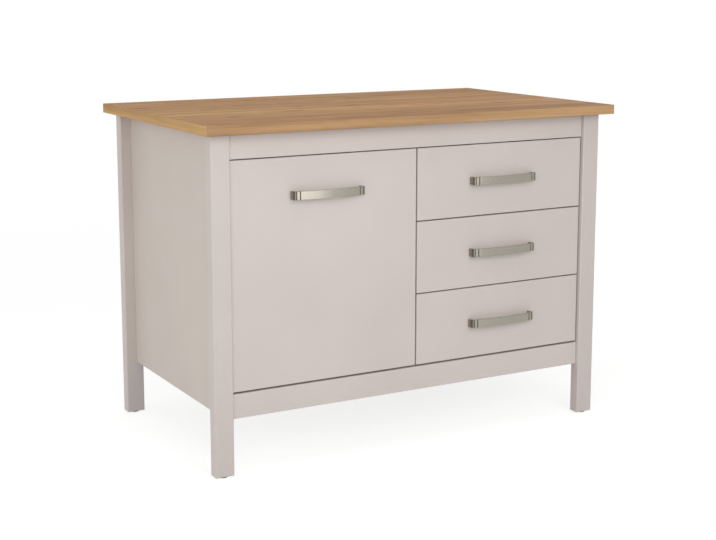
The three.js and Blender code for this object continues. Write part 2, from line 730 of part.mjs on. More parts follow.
function drawer(name, row) {
  const group = new THREE.Group();
  const bottom = drawerFrontBottom(row);
  const centreZ = bottom + drawerFloorRise - sideBottom;
  const halfBay = (sideInnerX - partitionHalf) / 2;
  const sideY = frontBackY + jointLine + runnerLength / 2;
  group.position.set(drawerCentreX, 0, centreZ);

  const frontX = [-drawerCentreX + frontGap / 2, legInnerX - frontGap - drawerCentreX];
  const frontZ = [bottom - centreZ, bottom + drawerFrontHeight - centreZ];
  const front = boardExact(frontX, [frontFaceY, frontBackY], frontZ, frontEasing);
  group.add(meshOf(`drawer_${name}_front`, front, finishes.paint));
  group.add(handle(`drawer_${name}_handle`, middle(frontX), handleZ(row) - centreZ));

  const leftSide = drawerSideGeometry(1);
  const rightSide = drawerSideGeometry(-1);
  group.add(meshOf(`drawer_${name}_side_left`, leftSide, finishes.drawerSteel, -halfBay, sideY));
  group.add(meshOf(`drawer_${name}_side_right`, rightSide, finishes.drawerSteel, halfBay, sideY));

  const innerHalf = halfBay - sideFromBoard - steelGauge;
  const floorTopZ = drawerFloorTop();
  const x = [-innerHalf, innerHalf];
  const y = [frontBackY, frontBackY + runnerLength];
  const floorZ = [floorTopZ - innerThickness, floorTopZ];
  const floorBoard = board(x, y, floorZ);
  group.add(meshOf(`drawer_${name}_floor`, floorBoard, finishes.white));
  const backBoard = board(x, [y[1] - innerThickness, y[1]], [floorTopZ, floorTopZ + drawerBackHeight]);
  group.add(meshOf(`drawer_${name}_back`, backBoard, finishes.white));
  return group;
}

function runners(name, row) {
  const group = new THREE.Group();
  const centreZ = drawerFrontBottom(row) + drawerFloorRise - sideBottom;
  const y = carcassFrontY + runnerSetback + runnerLength / 2;
  const left = meshOf(`runner_${name}_left`, runnerGeometry(1), finishes.zinc, partitionHalf, y);
  const right = meshOf(`runner_${name}_right`, runnerGeometry(-1), finishes.zinc, sideInnerX, y);
  group.position.z = centreZ;
  group.add(left, right);
  return group;
}

// ------------------------------------------------------------------ whole unit

const unit = new THREE.Group();
unit.name = 'kitchen_island_unit';
unit.add(worktop(), legs(), carcass(), shelf(), door());
drawerNames.forEach((name, row) => {
  unit.add(runners(name, row));
  unit.add(drawer(name, row));
});

export default unit;
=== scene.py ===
"""Kitchen island unit: the looks of every piece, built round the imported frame.

Metres, +X to the right, +Y to the back, +Z up, with the floor at zero and the fronts facing -Y.
"""
import json
import logging
import math
from contextlib import contextmanager
from dataclasses import dataclass, field
from enum import Enum
from functools import reduce
from typing import Callable, ClassVar, Dict, Iterator, List, Optional, Sequence, Tuple

import bmesh
import bpy
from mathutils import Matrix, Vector


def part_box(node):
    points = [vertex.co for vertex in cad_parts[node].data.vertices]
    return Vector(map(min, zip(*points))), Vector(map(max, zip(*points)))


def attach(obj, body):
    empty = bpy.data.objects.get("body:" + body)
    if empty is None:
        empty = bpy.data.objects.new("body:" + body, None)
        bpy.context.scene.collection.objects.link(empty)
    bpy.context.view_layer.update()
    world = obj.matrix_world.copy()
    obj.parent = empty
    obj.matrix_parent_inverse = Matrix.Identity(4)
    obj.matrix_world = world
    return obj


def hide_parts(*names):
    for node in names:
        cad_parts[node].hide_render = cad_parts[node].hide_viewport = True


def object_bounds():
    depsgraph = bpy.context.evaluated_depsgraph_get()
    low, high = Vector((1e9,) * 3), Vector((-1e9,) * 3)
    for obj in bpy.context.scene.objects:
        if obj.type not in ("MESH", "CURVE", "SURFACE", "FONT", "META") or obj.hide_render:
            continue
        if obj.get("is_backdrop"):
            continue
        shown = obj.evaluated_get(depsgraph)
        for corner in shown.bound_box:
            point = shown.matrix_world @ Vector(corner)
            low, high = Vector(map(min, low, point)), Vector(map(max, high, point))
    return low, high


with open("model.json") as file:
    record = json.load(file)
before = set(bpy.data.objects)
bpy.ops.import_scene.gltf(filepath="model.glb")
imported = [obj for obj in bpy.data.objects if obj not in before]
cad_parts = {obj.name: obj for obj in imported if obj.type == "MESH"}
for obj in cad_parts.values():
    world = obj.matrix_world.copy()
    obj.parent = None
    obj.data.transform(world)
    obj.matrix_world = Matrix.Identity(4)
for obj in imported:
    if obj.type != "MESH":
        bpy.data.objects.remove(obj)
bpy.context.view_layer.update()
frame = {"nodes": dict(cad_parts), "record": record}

MM = 0.001
FACING = 0.95            # the least share of a normal along the way that a face looks
TARNISH_AND_SHADE = "tarnish"      # the vertex attribute that darkens the nickel: patina in the grooves, painted shade round the outer corners
ONES = (1.0, 1.0, 1.0)   # white, or no change of scale
TURNS = {"X": (0.0, math.pi / 2, 0.0), "Y": (math.pi / 2, 0.0, 0.0), "Z": (0.0, 0.0, 0.0)}
Colour = Tuple[float, float, float]
Place = Tuple[float, float, float]
Pair = Tuple[float, float]
Names = Tuple[str, ...]
Point = Sequence[float]
Piece = bpy.types.Object
Test = Callable[[Vector, Vector], bool]
Material = bpy.types.Material
Socket = bpy.types.NodeSocket
log = logging.getLogger("kitchen_island")


class Side(Enum):
    """The two sides of a bay or a drawer, as steps along X away from the board that carries them."""

    LEFT = 1
    RIGHT = -1

    @property
    def word(self) -> str:
        """The side's word in the nodes' names."""
        return self.name.lower()

    def faces(self, low: Vector, high: Vector) -> Pair:
        """The X of a box's outer face and of its inner one."""
        return (low.x, high.x) if self is Side.LEFT else (high.x, low.x)


class Slot(Enum):
    """The finishes that the record names."""

    OAK = "oak_worktop"
    PAINT = "greige_paint"
    WHITE = "white_board"
    NICKEL = "nickel_handle"
    ZINC = "zinc_steel"
    DRAWER = "drawer_steel"
    GLIDE = "glide_plastic"
    BUMPER = "clear_bumper"


# ---- node trees for the finishes


class Recipe:
    """The nodes of a material or of the world, which feed one shader, with short calls to add them."""

    def __init__(self, owner: bpy.types.ID, shader: str = "Principled BSDF") -> None:
        """Turns the nodes on.

        Args:
            owner: The material or the world.
            shader: The shader's node.
        """
        owner.use_nodes = True
        self.nodes, self.links = owner.node_tree.nodes, owner.node_tree.links
        self.shader = self.nodes[shader]

    def feed(self, socket: Socket, value: object) -> None:
        """Links a socket to an output, or writes a value in it.

        Args:
            socket: The input.
            value: An output socket or a value.
        """
        if isinstance(value, Socket):
            self.links.new(value, socket)
        else:
            socket.default_value = value

    def add(self, kind: str, inputs: Optional[Dict[object, object]] = None,
            **settings: object) -> bpy.types.Node:
        """Adds a node.

        Args:
            kind: The node type without its ShaderNode prefix.
            inputs: Values or output sockets for its inputs, by name or number.
            settings: Values for the node's own settings.

        Returns:
            The new node.
        """
        node = self.nodes.new("ShaderNode" + kind)
        for name, value in settings.items():
            setattr(node, name, value)
        for name, value in (inputs or {}).items():
            self.feed(node.inputs[name], value)
        return node

    def maths(self, operation: str, a: object, b: object = 0.0, c: object = 0.0) -> Socket:
        """A Math node's result."""
        return self.add("Math", {0: a, 1: b, 2: c}, operation=operation).outputs[0]

    def vectors(self, operation: str, a: object, b: object) -> Socket:
        """A Vector Math node's result."""
        return self.add("VectorMath", {0: a, 1: b}, operation=operation).outputs[0]

    def span(self, value: Socket, low: float, high: float, to_low: float, to_high: float) -> Socket:
        """A value mapped from one range to another, held at the ends."""
        inputs = {0: value, 1: low, 2: high, 3: to_low, 4: to_high}
        return self.add("MapRange", inputs, clamp=True).outputs[0]

    def spread(self, noise: Socket, to_low: float, to_high: float) -> Socket:
        """Noise, most of which lies between 0.3 and 0.7, spread over a range."""
        return self.span(noise, 0.3, 0.7, to_low, to_high)

    def seen(self) -> Socket:
        """Tells what is looked at from what only throws light.

        Returns:
            One where the camera, a mirror or glass looks, and zero elsewhere.
        """
        path = self.add("LightPath")
        shown = path.outputs["Is Camera Ray"]
        for name in ("Is Glossy Ray", "Is Transmission Ray"):
            shown = self.maths("MAXIMUM", shown, path.outputs[name])
        return shown

    def set(self, name: str, value: object) -> None:
        """Sets or links one input of the shader."""
        self.feed(self.shader.inputs[name], value)

    def coordinates(self, scale: Place = ONES) -> Socket:
        """Object coordinates, scaled on each axis."""
        return self.vectors("MULTIPLY", self.add("TexCoord").outputs["Object"], scale)

    def noise(self, vector: Socket, scale: float, detail: float = 2.0, **more: float) -> Socket:
        """Noise on a vector, centred on one half, with inputs such as Roughness or Distortion."""
        inputs = {"Vector": vector, "Scale": scale, "Detail": detail, **more}
        return self.add("TexNoise", inputs).outputs["Fac"]

    def mix(self, factor: object, a: object, b: object, blend: str = "MIX") -> Socket:
        """Two colours mixed.

        Args:
            factor: The share of b.
            a: The first colour, as a tuple or a socket.
            b: The second colour.
            blend: The blend type.

        Returns:
            The colour socket.
        """
        node = self.add("Mix", data_type="RGBA", blend_type=blend)
        for number, part in ((0, factor), (6, a), (7, b)):
            self.feed(node.inputs[number], (*part, 1.0) if isinstance(part, tuple) else part)
        return node.outputs[2]

    def grey(self, level: Socket) -> Socket:
        """A level as a colour."""
        return self.add("CombineXYZ", {0: level, 1: level, 2: level}).outputs[0]

    def mottle(self, share: Socket, colour: Colour, amount: float) -> None:
        """Varies the base colour between a deeper and a paler tone.

        Args:
            share: Noise, high where the tone is paler.
            colour: The colour between the two.
            amount: How far each tone lies from it.
        """
        deep = tuple(part * (1.0 - amount) for part in colour)
        pale = tuple(min(1.0, part * (1.0 + amount)) for part in colour)
        self.set("Base Color", self.mix(self.spread(share, 0.0, 1.0), deep, pale))

    def bump(self, height: Socket, distance: float, strength: float = 0.6) -> None:
        """Joins a height, from zero to one, to the shader's normal, with its depth in metres."""
        inputs = {"Height": height, "Distance": distance, "Strength": strength}
        self.set("Normal", self.add("Bump", inputs).outputs["Normal"])


@dataclass(frozen=True)
class SprayPaint:
    """Satin greige lacquer on board: a faint mottle and the fine ripple of a sprayed coat."""

    name: str = "greige_spray_paint"
    colour: Colour = (0.640, 0.575, 0.540)
    mottle: float = 0.035
    roughness: Pair = (0.37, 0.48)
    cloud: float = 3.0
    haze: float = 9.0
    ripple: float = 420.0
    speck: float = 1500.0
    speck_share: float = 0.3
    depth: float = 0.05 * MM

    def material(self) -> Material:
        """Makes the material.

        Returns:
            The material.
        """
        material = bpy.data.materials.new(self.name)
        recipe = Recipe(material)
        place = recipe.coordinates()
        recipe.mottle(recipe.noise(place, self.cloud, 3.0), self.colour, self.mottle)
        recipe.set("Roughness", recipe.spread(recipe.noise(place, self.haze, 3.0), *self.roughness))
        recipe.set("Specular IOR Level", 0.4)
        ripple, speck = recipe.noise(place, self.ripple), recipe.noise(place, self.speck, 1.0)
        recipe.bump(recipe.maths("MULTIPLY_ADD", speck, self.speck_share, ripple), self.depth, 0.5)
        return material


class PlankGrain:
    """Planks side by side: each has coordinates and a tone of its own, so that no figure runs on."""

    first: ClassVar[float] = 16.0 * MM
    shift: ClassVar[float] = 7.0
    number_scale: ClassVar[float] = 1.7

    def __init__(self, recipe: Recipe, plank: float, along_y: bool) -> None:
        """Lays out the planks.

        Args:
            recipe: The material's tree.
            plank: The width of a plank.
            along_y: Whether the planks run along Y, and not along X.
        """
        self.recipe = recipe
        axes = recipe.add("SeparateXYZ", {0: recipe.coordinates()}).outputs
        long, wide = ("Y", "X") if along_y else ("X", "Y")

        # Height counts as width, so the figure turns over the arris and runs on down the edge.
        across = recipe.maths("ADD", axes[wide], axes["Z"])
        step = recipe.maths("DIVIDE", recipe.maths("ADD", across, self.first), plank)
        number, within = recipe.maths("FLOOR", step), recipe.maths("FRACT", step)
        self.tone = recipe.add("TexWhiteNoise", {"W": number}, noise_dimensions="1D").outputs["Value"]
        self.from_seam = recipe.maths("MINIMUM", within, recipe.maths("SUBTRACT", 1.0, within))
        start = recipe.maths("MULTIPLY_ADD", self.tone, self.shift, axes[long])
        self.own = recipe.add("CombineXYZ", {0: start, 1: across, 2: number}).outputs[0]

    def at(self, scales: Pair) -> Socket:
        """The plank's own coordinates, scaled along and across the grain."""
        return self.recipe.vectors("MULTIPLY", self.own, (*scales, self.number_scale))

    def noise(self, scales: Pair, detail: float, **more: float) -> Socket:
        """Noise that is drawn out along the grain."""
        return self.recipe.noise(self.at(scales), 1.0, detail, **more)


@dataclass(frozen=True)
class OakBoards:
    """Rustic oak in planks along one axis, with growth lines, streaks, pores and a few dark knots.

    Each pair of scales says how fine a pattern is along the grain and across it.
    """

    name: str = "oak_boards"
    pink: Colour = (0.415, 0.215, 0.103)
    straw: Colour = (0.492, 0.290, 0.128)
    straw_share: float = 0.35
    along_y: bool = False
    plank: float = 121.0 * MM
    figure: float = 1.0
    roughness: Pair = (0.47, 0.63)
    hue: Pair = (1.3, 13.0)
    streaks: Pair = (1.2, 46.0)
    fine: Pair = (7.0, 280.0)
    pores: Pair = (30.0, 900.0)
    knots: Pair = (3.2, 11.0)
    knot_wobble: Pair = (30.0, 100.0)
    knot_sway: float = 0.14
    knot_share: float = 0.80
    growth: Pair = (0.75, 8.5)
    growth_lines: float = 24.0
    growth_round_knots: float = 0.16
    seam: float = 0.013
    depth: float = 0.18 * MM

    def material(self) -> Material:
        """Makes the material.

        Returns:
            The material.
        """
        material = bpy.data.materials.new(self.name)
        recipe = Recipe(material)
        grain = PlankGrain(recipe, self.plank, self.along_y)
        fine = grain.noise(self.fine, 5.0, Roughness=0.65)
        pores = recipe.span(grain.noise(self.pores, 2.0), 0.60, 0.72, 0.0, 1.0)
        seam = recipe.span(grain.from_seam, 0.0, self.seam, 1.0, 0.0)
        halo, heart = self.knot_marks(recipe, grain)

        # Growth lines: the contours of a slow field, which bend round the knots.
        contour = grain.noise(self.growth, 2.0, Distortion=0.3)
        contour = recipe.maths("MULTIPLY_ADD", halo, self.growth_round_knots, contour)
        lines = recipe.maths("PINGPONG", recipe.maths("MULTIPLY", contour, self.growth_lines), 0.5)
        lines = recipe.span(lines, 0.22, 0.50, 1.0 + 0.05 * self.figure, 1.0 - 0.16 * self.figure)
        level = recipe.spread(grain.noise(self.streaks, 4.0, Distortion=0.4), 1.22, 0.74)
        for part in (lines, recipe.spread(fine, 1.10, 0.90), recipe.span(grain.tone, 0.0, 1.0, 0.88, 1.07)):
            level = recipe.maths("MULTIPLY", level, part)

        hue = recipe.maths("MULTIPLY_ADD", grain.tone, 0.40, grain.noise(self.hue, 3.0, Distortion=0.4))
        hue = recipe.span(hue, 0.45, 0.95, 0.0, 1.0)
        share = recipe.maths("MULTIPLY_ADD", hue, 0.8, self.straw_share - 0.3)
        wood = recipe.mix(recipe.span(share, 0.0, 1.0, 0.0, 1.0), self.pink, self.straw)
        wood = recipe.mix(1.0, wood, recipe.grey(level), "MULTIPLY")
        stains = ((pores, 0.25, (0.20, 0.10, 0.05)), (halo, 0.45, (0.42, 0.185, 0.075)),
                  (heart, 0.85, (0.09, 0.045, 0.022)), (seam, 0.5, (0.22, 0.105, 0.045)))
        for mark, share, stain in stains:
            wood = recipe.mix(recipe.maths("MULTIPLY", mark, share), wood, stain)
        recipe.set("Base Color", wood)
        recipe.set("Roughness", recipe.spread(fine, *self.roughness))
        recipe.set("Specular IOR Level", 0.03)
        relief = recipe.maths("MULTIPLY_ADD", pores, -0.5, recipe.maths("MULTIPLY", fine, 0.6))
        recipe.bump(recipe.maths("MULTIPLY_ADD", seam, -1.2, relief), self.depth)
        return material

    def knot_marks(self, recipe: Recipe, grain: PlankGrain) -> Tuple[Socket, Socket]:
        """Knots: a few long cells with uneven rims.

        Args:
            recipe: The material's tree.
            grain: The planks.

        Returns:
            The warm ring round each knot, and its dark middle.
        """
        inputs = {"Vector": grain.at(self.knot_wobble), "Scale": 1.0, "Detail": 3.0}
        wobble = recipe.add("TexNoise", inputs).outputs["Color"]
        sway = recipe.vectors("MULTIPLY", wobble, (self.knot_sway, self.knot_sway, 0.0))
        place = recipe.vectors("ADD", grain.at(self.knots), sway)
        cells = recipe.add("TexVoronoi", {"Vector": place, "Scale": 1.0}, voronoi_dimensions="2D").outputs
        pick = recipe.add("SeparateXYZ", {0: cells["Color"]}).outputs[0]
        chosen = recipe.maths("GREATER_THAN", pick, self.knot_share)
        halo = recipe.span(cells["Distance"], 0.04, 0.34, 1.0, 0.0)
        heart = recipe.span(cells["Distance"], 0.03, 0.11, 1.0, 0.0)
        return recipe.maths("MULTIPLY", halo, chosen), recipe.maths("MULTIPLY", heart, chosen)


@dataclass(frozen=True)
class BrushedMetal:
    """Metal with fine brush lines along one direction."""

    name: str
    colour: Colour
    grain: Place = (6.0, 900.0, 900.0)
    roughness: Pair = (0.31, 0.47)
    depth: float = 0.03 * MM
    coat: float = 0.0
    tarnish: Optional[Colour] = None
    between_lines: float = 0.86
    cloud: float = 26.0

    def material(self) -> Material:
        """Makes the material.

        Returns:
            The material.
        """
        material = bpy.data.materials.new(self.name)
        recipe = Recipe(material)
        lines = recipe.noise(recipe.coordinates(self.grain), 1.0, 4.0)
        dull = tuple(part * self.between_lines for part in self.colour)
        colour = recipe.mix(recipe.spread(lines, 0.0, 1.0), dull, self.colour)
        # The dark colour comes in where the vertex attribute is high: patina in the grooves, painted shade
        # round the handle's outer corners.
        if self.tarnish:
            dark = recipe.add("Attribute", attribute_name=TARNISH_AND_SHADE).outputs["Fac"]
            colour = recipe.mix(dark, colour, self.tarnish)
        recipe.set("Base Color", colour)
        cloud = recipe.noise(recipe.coordinates(), self.cloud, 3.0)
        share = recipe.maths("MULTIPLY_ADD", lines, 0.5, recipe.maths("MULTIPLY", cloud, 0.5))
        recipe.set("Roughness", recipe.spread(share, *self.roughness))
        recipe.set("Metallic", 1.0)
        recipe.set("Coat Weight", self.coat)
        recipe.bump(lines, self.depth)
        return material


@dataclass(frozen=True)
class FineGrained:
    """A coated, moulded or pressed surface with a fine grain: melamine, powder coat or plastic."""

    name: str
    colour: Colour
    grain: float
    depth: float
    roughness: Pair
    mottle: float = 0.03
    coat: float = 0.0
    cloud: float = 6.0
    cloud_share: float = 0.6

    def material(self) -> Material:
        """Makes the material.

        Returns:
            The material.
        """
        material = bpy.data.materials.new(self.name)
        recipe = Recipe(material)
        place = recipe.coordinates()
        pearl = recipe.noise(place, self.grain, 3.0)
        part = recipe.maths("MULTIPLY", pearl, 1.0 - self.cloud_share)
        share = recipe.maths("MULTIPLY_ADD", recipe.noise(place, self.cloud, 3.0), self.cloud_share, part)
        recipe.mottle(share, self.colour, self.mottle)
        recipe.set("Roughness", recipe.spread(pearl, *self.roughness))
        recipe.set("Coat Weight", self.coat)
        recipe.bump(pearl, self.depth)
        return material


@dataclass(frozen=True)
class Silicone:
    """Clear soft silicone, as bumpers are made of."""

    name: str = "clear_silicone"
    colour: Colour = (0.86, 0.88, 0.87)
    shade: float = 0.94
    cloud: float = 300.0
    roughness: Pair = (0.22, 0.34)
    clearness: float = 0.7
    refraction: float = 1.41

    def material(self) -> Material:
        """Makes the material.

        Returns:
            The material.
        """
        material = bpy.data.materials.new(self.name)
        recipe = Recipe(material)
        cloud = recipe.noise(recipe.coordinates(), self.cloud)
        recipe.set("Base Color", recipe.mix(cloud, tuple(c * self.shade for c in self.colour), self.colour))
        recipe.set("Roughness", recipe.spread(cloud, *self.roughness))
        recipe.set("Transmission Weight", self.clearness)
        recipe.set("IOR", self.refraction)
        return material


class Finishes:
    """Every material of the unit, made once."""

    def __init__(self) -> None:
        """Makes the materials."""
        self.paint = SprayPaint().material()
        # The legs' paint is the greige paint made a little darker, which is painted shade.
        self.leg_paint = SprayPaint("greige_leg_paint", (0.612, 0.550, 0.517)).material()
        # The side and back panels' paint is the greige paint made darker and yellower; its darkening is
        # partly painted shade.
        self.panel_paint = SprayPaint("greige_panel_paint", (0.615, 0.545, 0.487)).material()
        self.oak = OakBoards().material()
        self.oak_edge = OakBoards("oak_edge_band", (0.450, 0.248, 0.135), (0.525, 0.332, 0.168), 0.55,
                                  plank=5.0, figure=0.3).material()
        self.oak_end = OakBoards("oak_end_band", (0.485, 0.272, 0.133), (0.570, 0.370, 0.165), 0.50,
                                 along_y=True, plank=5.0, figure=0.3).material()
        self.white = FineGrained("white_melamine", (0.80, 0.79, 0.76), 900.0, 0.04 * MM,
                                 (0.34, 0.46)).material()
        # The satin nickel darkens where its vertex attribute is high: patina in the grooves and painted shade
        # round the outer corners.
        self.nickel = BrushedMetal("satin_nickel", (0.345, 0.315, 0.266), (4.0, 1400.0, 1400.0), (0.23, 0.39),
                                   0.008 * MM, coat=0.35, tarnish=(0.055, 0.046, 0.036)).material()
        self.zinc = BrushedMetal("zinc_plate", (0.60, 0.61, 0.63), (120.0, 120.0, 500.0)).material()
        self.drawer_steel = FineGrained("coated_steel", (0.66, 0.665, 0.67), 1400.0, 0.04 * MM,
                                        (0.36, 0.48), coat=0.15).material()
        self.plastic = FineGrained("dark_plastic", (0.045, 0.042, 0.040), 1100.0, 0.06 * MM,
                                   (0.49, 0.61), mottle=0.15).material()
        self.nylon = FineGrained("white_nylon", (0.74, 0.74, 0.72), 800.0, 0.03 * MM,
                                 (0.32, 0.44)).material()
        self.silicone = Silicone().material()


# ---- modelling by operators


def deselect() -> None:
    """Leaves object mode with nothing selected."""
    if bpy.context.mode != "OBJECT":
        bpy.ops.object.mode_set(mode="OBJECT")
    bpy.ops.object.select_all(action="DESELECT")


def activate(piece: Piece) -> None:
    """Selects one piece alone and makes it active.

    Args:
        piece: The piece.
    """
    deselect()
    piece.select_set(True)
    bpy.context.view_layer.objects.active = piece


def rename(piece: Piece, name: str) -> None:
    """Names a piece and its mesh."""
    piece.name = piece.data.name = name


def primitive(name: str, kind: str, centre: Point, turn: Place, scale: Point,
              **sizes: float) -> Piece:
    """Adds a primitive and puts its place into its mesh.

    Args:
        name: The piece's name.
        kind: cube, plane or cylinder.
        centre: Its middle.
        turn: Its rotation.
        scale: Its scale on each axis.
        sizes: Its sizes before it is scaled.

    Returns:
        The piece, with its object at the origin.
    """
    deselect()
    getattr(bpy.ops.mesh, f"primitive_{kind}_add")(location=centre, rotation=turn, **sizes)
    piece = bpy.context.active_object
    piece.scale = scale
    rename(piece, name)
    bpy.ops.object.transform_apply(location=True, rotation=True, scale=True)
    return piece


def block(name: str, corner: Point, opposite: Point) -> Piece:
    """A block between two opposite corners."""
    centre, size = zip(*(((a + b) / 2, abs(b - a)) for a, b in zip(corner, opposite)))
    return primitive(name, "cube", centre, TURNS["Z"], size, size=1.0)


def sheet(name: str, centre: Point, turn: Place, size: Pair) -> Piece:
    """A flat rectangle."""
    return primitive(name, "plane", centre, turn, (*size, 1.0), size=1.0)


def cylinder(name: str, centre: Point, radius: float, length: float, axis: str,
             sides: int) -> Piece:
    """A round bar along X, Y or Z."""
    sizes = {"vertices": sides, "radius": radius, "depth": length}
    return primitive(name, "cylinder", centre, TURNS[axis], ONES, **sizes)


@contextmanager
def editing(piece: Piece) -> Iterator[None]:
    """Edit mode on one piece, with nothing selected at the start.

    Args:
        piece: The piece.

    Yields:
        Nothing: the piece is in edit mode inside the with block.
    """
    activate(piece)
    bpy.ops.object.mode_set(mode="EDIT")
    bpy.ops.mesh.select_all(action="DESELECT")
    yield
    bpy.ops.object.mode_set(mode="OBJECT")


def choose(piece: Piece, kind: str, test: Callable[[object], bool]) -> None:
    """Selects faces or edges in edit mode.

    Args:
        piece: The piece.
        kind: FACE or EDGE.
        test: Takes one face or edge.
    """
    bpy.ops.mesh.select_mode(type=kind)
    bpy.ops.mesh.select_all(action="DESELECT")
    shape = bmesh.from_edit_mesh(piece.data)
    for element in filter(test, shape.faces if kind == "FACE" else shape.edges):
        element.select_set(True)
    bmesh.update_edit_mesh(piece.data)


def choose_faces(piece: Piece, test: Test) -> None:
    """Selects, in edit mode, the faces whose centre and normal pass a test."""
    choose(piece, "FACE", lambda face: test(face.calc_center_median(), face.normal))


def choose_edges(piece: Piece, test: Test) -> None:
    """Selects, in edit mode, the edges whose two ends pass a test."""
    choose(piece, "EDGE", lambda edge: test(edge.verts[0].co, edge.verts[1].co))


def face_outwards() -> None:
    """Turns every face outwards, in edit mode."""
    bpy.ops.mesh.select_all(action="SELECT")
    bpy.ops.mesh.normals_make_consistent(inside=False)


def bevel(width: float, steps: int) -> None:
    """Bevels the selected edges, in edit mode."""
    bpy.ops.mesh.bevel(offset=width, segments=steps, affect="EDGES")


def modify(piece: Piece, kind: str, **settings: object) -> None:
    """Adds a modifier and applies it.

    Args:
        piece: The piece.
        kind: The modifier's type.
        settings: Its settings.
    """
    modifier = piece.modifiers.new(kind.title(), kind)
    for name, value in settings.items():
        setattr(modifier, name, value)
    activate(piece)
    bpy.ops.object.modifier_apply(modifier=modifier.name)


def smooth(piece: Piece, angle: float = 50.0) -> None:
    """Shades the rounded edges smooth and keeps the wide faces flat.

    Args:
        piece: The piece.
        angle: The greatest angle, in degrees, that is shaded smooth.
    """
    activate(piece)
    bpy.ops.object.shade_smooth_by_angle(angle=math.radians(angle))
    modify(piece, "WEIGHTED_NORMAL", weight=100, keep_sharp=True)


def soften(piece: Piece, width: float, steps: int = 3, angle: float = 40.0) -> None:
    """Rounds, in some steps, every edge between faces that meet at more than an angle in degrees."""
    modify(piece, "BEVEL", width=width, segments=steps, limit_method="ANGLE", angle_limit=math.radians(angle))
    smooth(piece)


def paint_faces(piece: Piece, material: Material, test: Test) -> None:
    """Gives some faces of a piece a further material.

    Args:
        piece: The piece.
        material: The further material.
        test: Takes a face's centre and normal.
    """
    piece.data.materials.append(material)
    with editing(piece):
        choose_faces(piece, test)
        piece.active_material_index = len(piece.data.materials) - 1
        bpy.ops.object.material_slot_assign()


def join(name: str, pieces: Sequence[Piece]) -> Piece:
    """Joins pieces into one object.

    Args:
        name: Its name.
        pieces: The pieces.

    Returns:
        The joined piece.
    """
    activate(pieces[0])
    for piece in pieces:
        piece.select_set(True)
    bpy.ops.object.join()
    rename(pieces[0], name)
    return pieces[0]


def duplicate(piece: Piece, name: str, step: Point) -> Piece:
    """A copy of a piece with its own mesh, moved by a step.

    Args:
        piece: The piece.
        name: The copy's name.
        step: The move.

    Returns:
        The copy.
    """
    activate(piece)
    bpy.ops.object.duplicate(linked=False)
    twin = bpy.context.active_object
    rename(twin, name)
    twin.location = step
    bpy.ops.object.transform_apply(location=True, rotation=False, scale=False)
    return twin


def cut(piece: Piece, cutters: Sequence[Piece]) -> None:
    """Cuts pieces out of a piece, and removes them.

    Args:
        piece: The piece that stays.
        cutters: The pieces that cut it.
    """
    for cutter in cutters:
        modify(piece, "BOOLEAN", object=cutter, operation="DIFFERENCE", solver="EXACT")
        bpy.data.objects.remove(cutter)


@dataclass(frozen=True)
class FoldedSheet:
    """Steel sheet folded along lines that run from front to back."""

    gauge: float = 1.5 * MM
    bend: float = 1.1 * MM
    bend_steps: int = 4
    edge: float = 0.25 * MM
    edge_angle: float = 60.0

    def fold(self, name: str, line: Sequence[Pair], front: float, back: float) -> Piece:
        """Folds one sheet.

        Args:
            name: The piece's name.
            line: The (x, z) points of the fold line, in the middle of the sheet's thickness.
            front: Where the sheet starts along Y.
            back: Where it ends.

        Returns:
            The piece.
        """
        (x0, z0), (x1, z1) = line[:2]
        centre = ((x0 + x1) / 2, (front + back) / 2, (z0 + z1) / 2)
        slope = math.atan2(z1 - z0, x1 - x0)
        piece = sheet(name, centre, (0.0, -slope, 0.0), (math.hypot(x1 - x0, z1 - z0), back - front))

        with editing(piece):
            choose_edges(piece, lambda *ends: all(math.hypot(end.x - x1, end.z - z1) < MM / 100
                                                  for end in ends))
            for (u0, v0), (u1, v1) in zip(line[1:], line[2:]):
                step = (u1 - u0, 0.0, v1 - v0)
                bpy.ops.mesh.extrude_edges_move(TRANSFORM_OT_translate={"value": step})
            choose(piece, "EDGE", lambda edge: len(edge.link_faces) == 2)
            bevel(self.bend, self.bend_steps)
            face_outwards()
        modify(piece, "SOLIDIFY", thickness=self.gauge, offset=0.0, use_even_offset=True)
        with editing(piece):
            face_outwards()
        soften(piece, self.edge, 2, self.edge_angle)
        return piece


@dataclass(frozen=True)
class PanHead:
    """A screw's pan head with a cross recess. Every size but the first is a share of the radius."""

    radius: float = 3.8 * MM
    height: float = 0.55
    rounding: float = 0.22
    recess: Pair = (0.6, 0.14)
    recess_floor: float = 0.055
    sides: int = 24
    smooth_angle: float = 35.0

    def model(self, name: str, at: Point, axis: str, out: int) -> Piece:
        """Models one head.

        Args:
            name: The piece's name.
            at: The point on the surface under the head.
            axis: The screw's axis.
            out: 1 or -1, the way the head faces along the axis.

        Returns:
            The piece.
        """
        along = "XYZ".index(axis)
        across = [number for number in range(3) if number != along]
        thick = self.radius * self.height
        centre = list(at)
        centre[along] += out * thick / 2
        head = cylinder(name, centre, self.radius, thick, axis, self.sides)
        with editing(head):
            choose_faces(head, lambda middle, normal: normal[along] * out > FACING)
            bevel(self.radius * self.rounding, 2)
        arms = []
        for halves in (reversed(self.recess), self.recess):
            low, high = list(centre), list(centre)
            low[along] += out * self.radius * self.recess_floor
            high[along] += out * thick
            for number, half in zip(across, halves):
                low[number] -= self.radius * half
                high[number] += self.radius * half
            arms.append(block("recess", low, high))
        cut(head, arms)
        smooth(head, self.smooth_angle)
        return head


@dataclass
class Fitted:
    """A finished piece, and how it was fitted."""

    piece: Piece
    slot: Slot
    node: str
    stands_for: bool


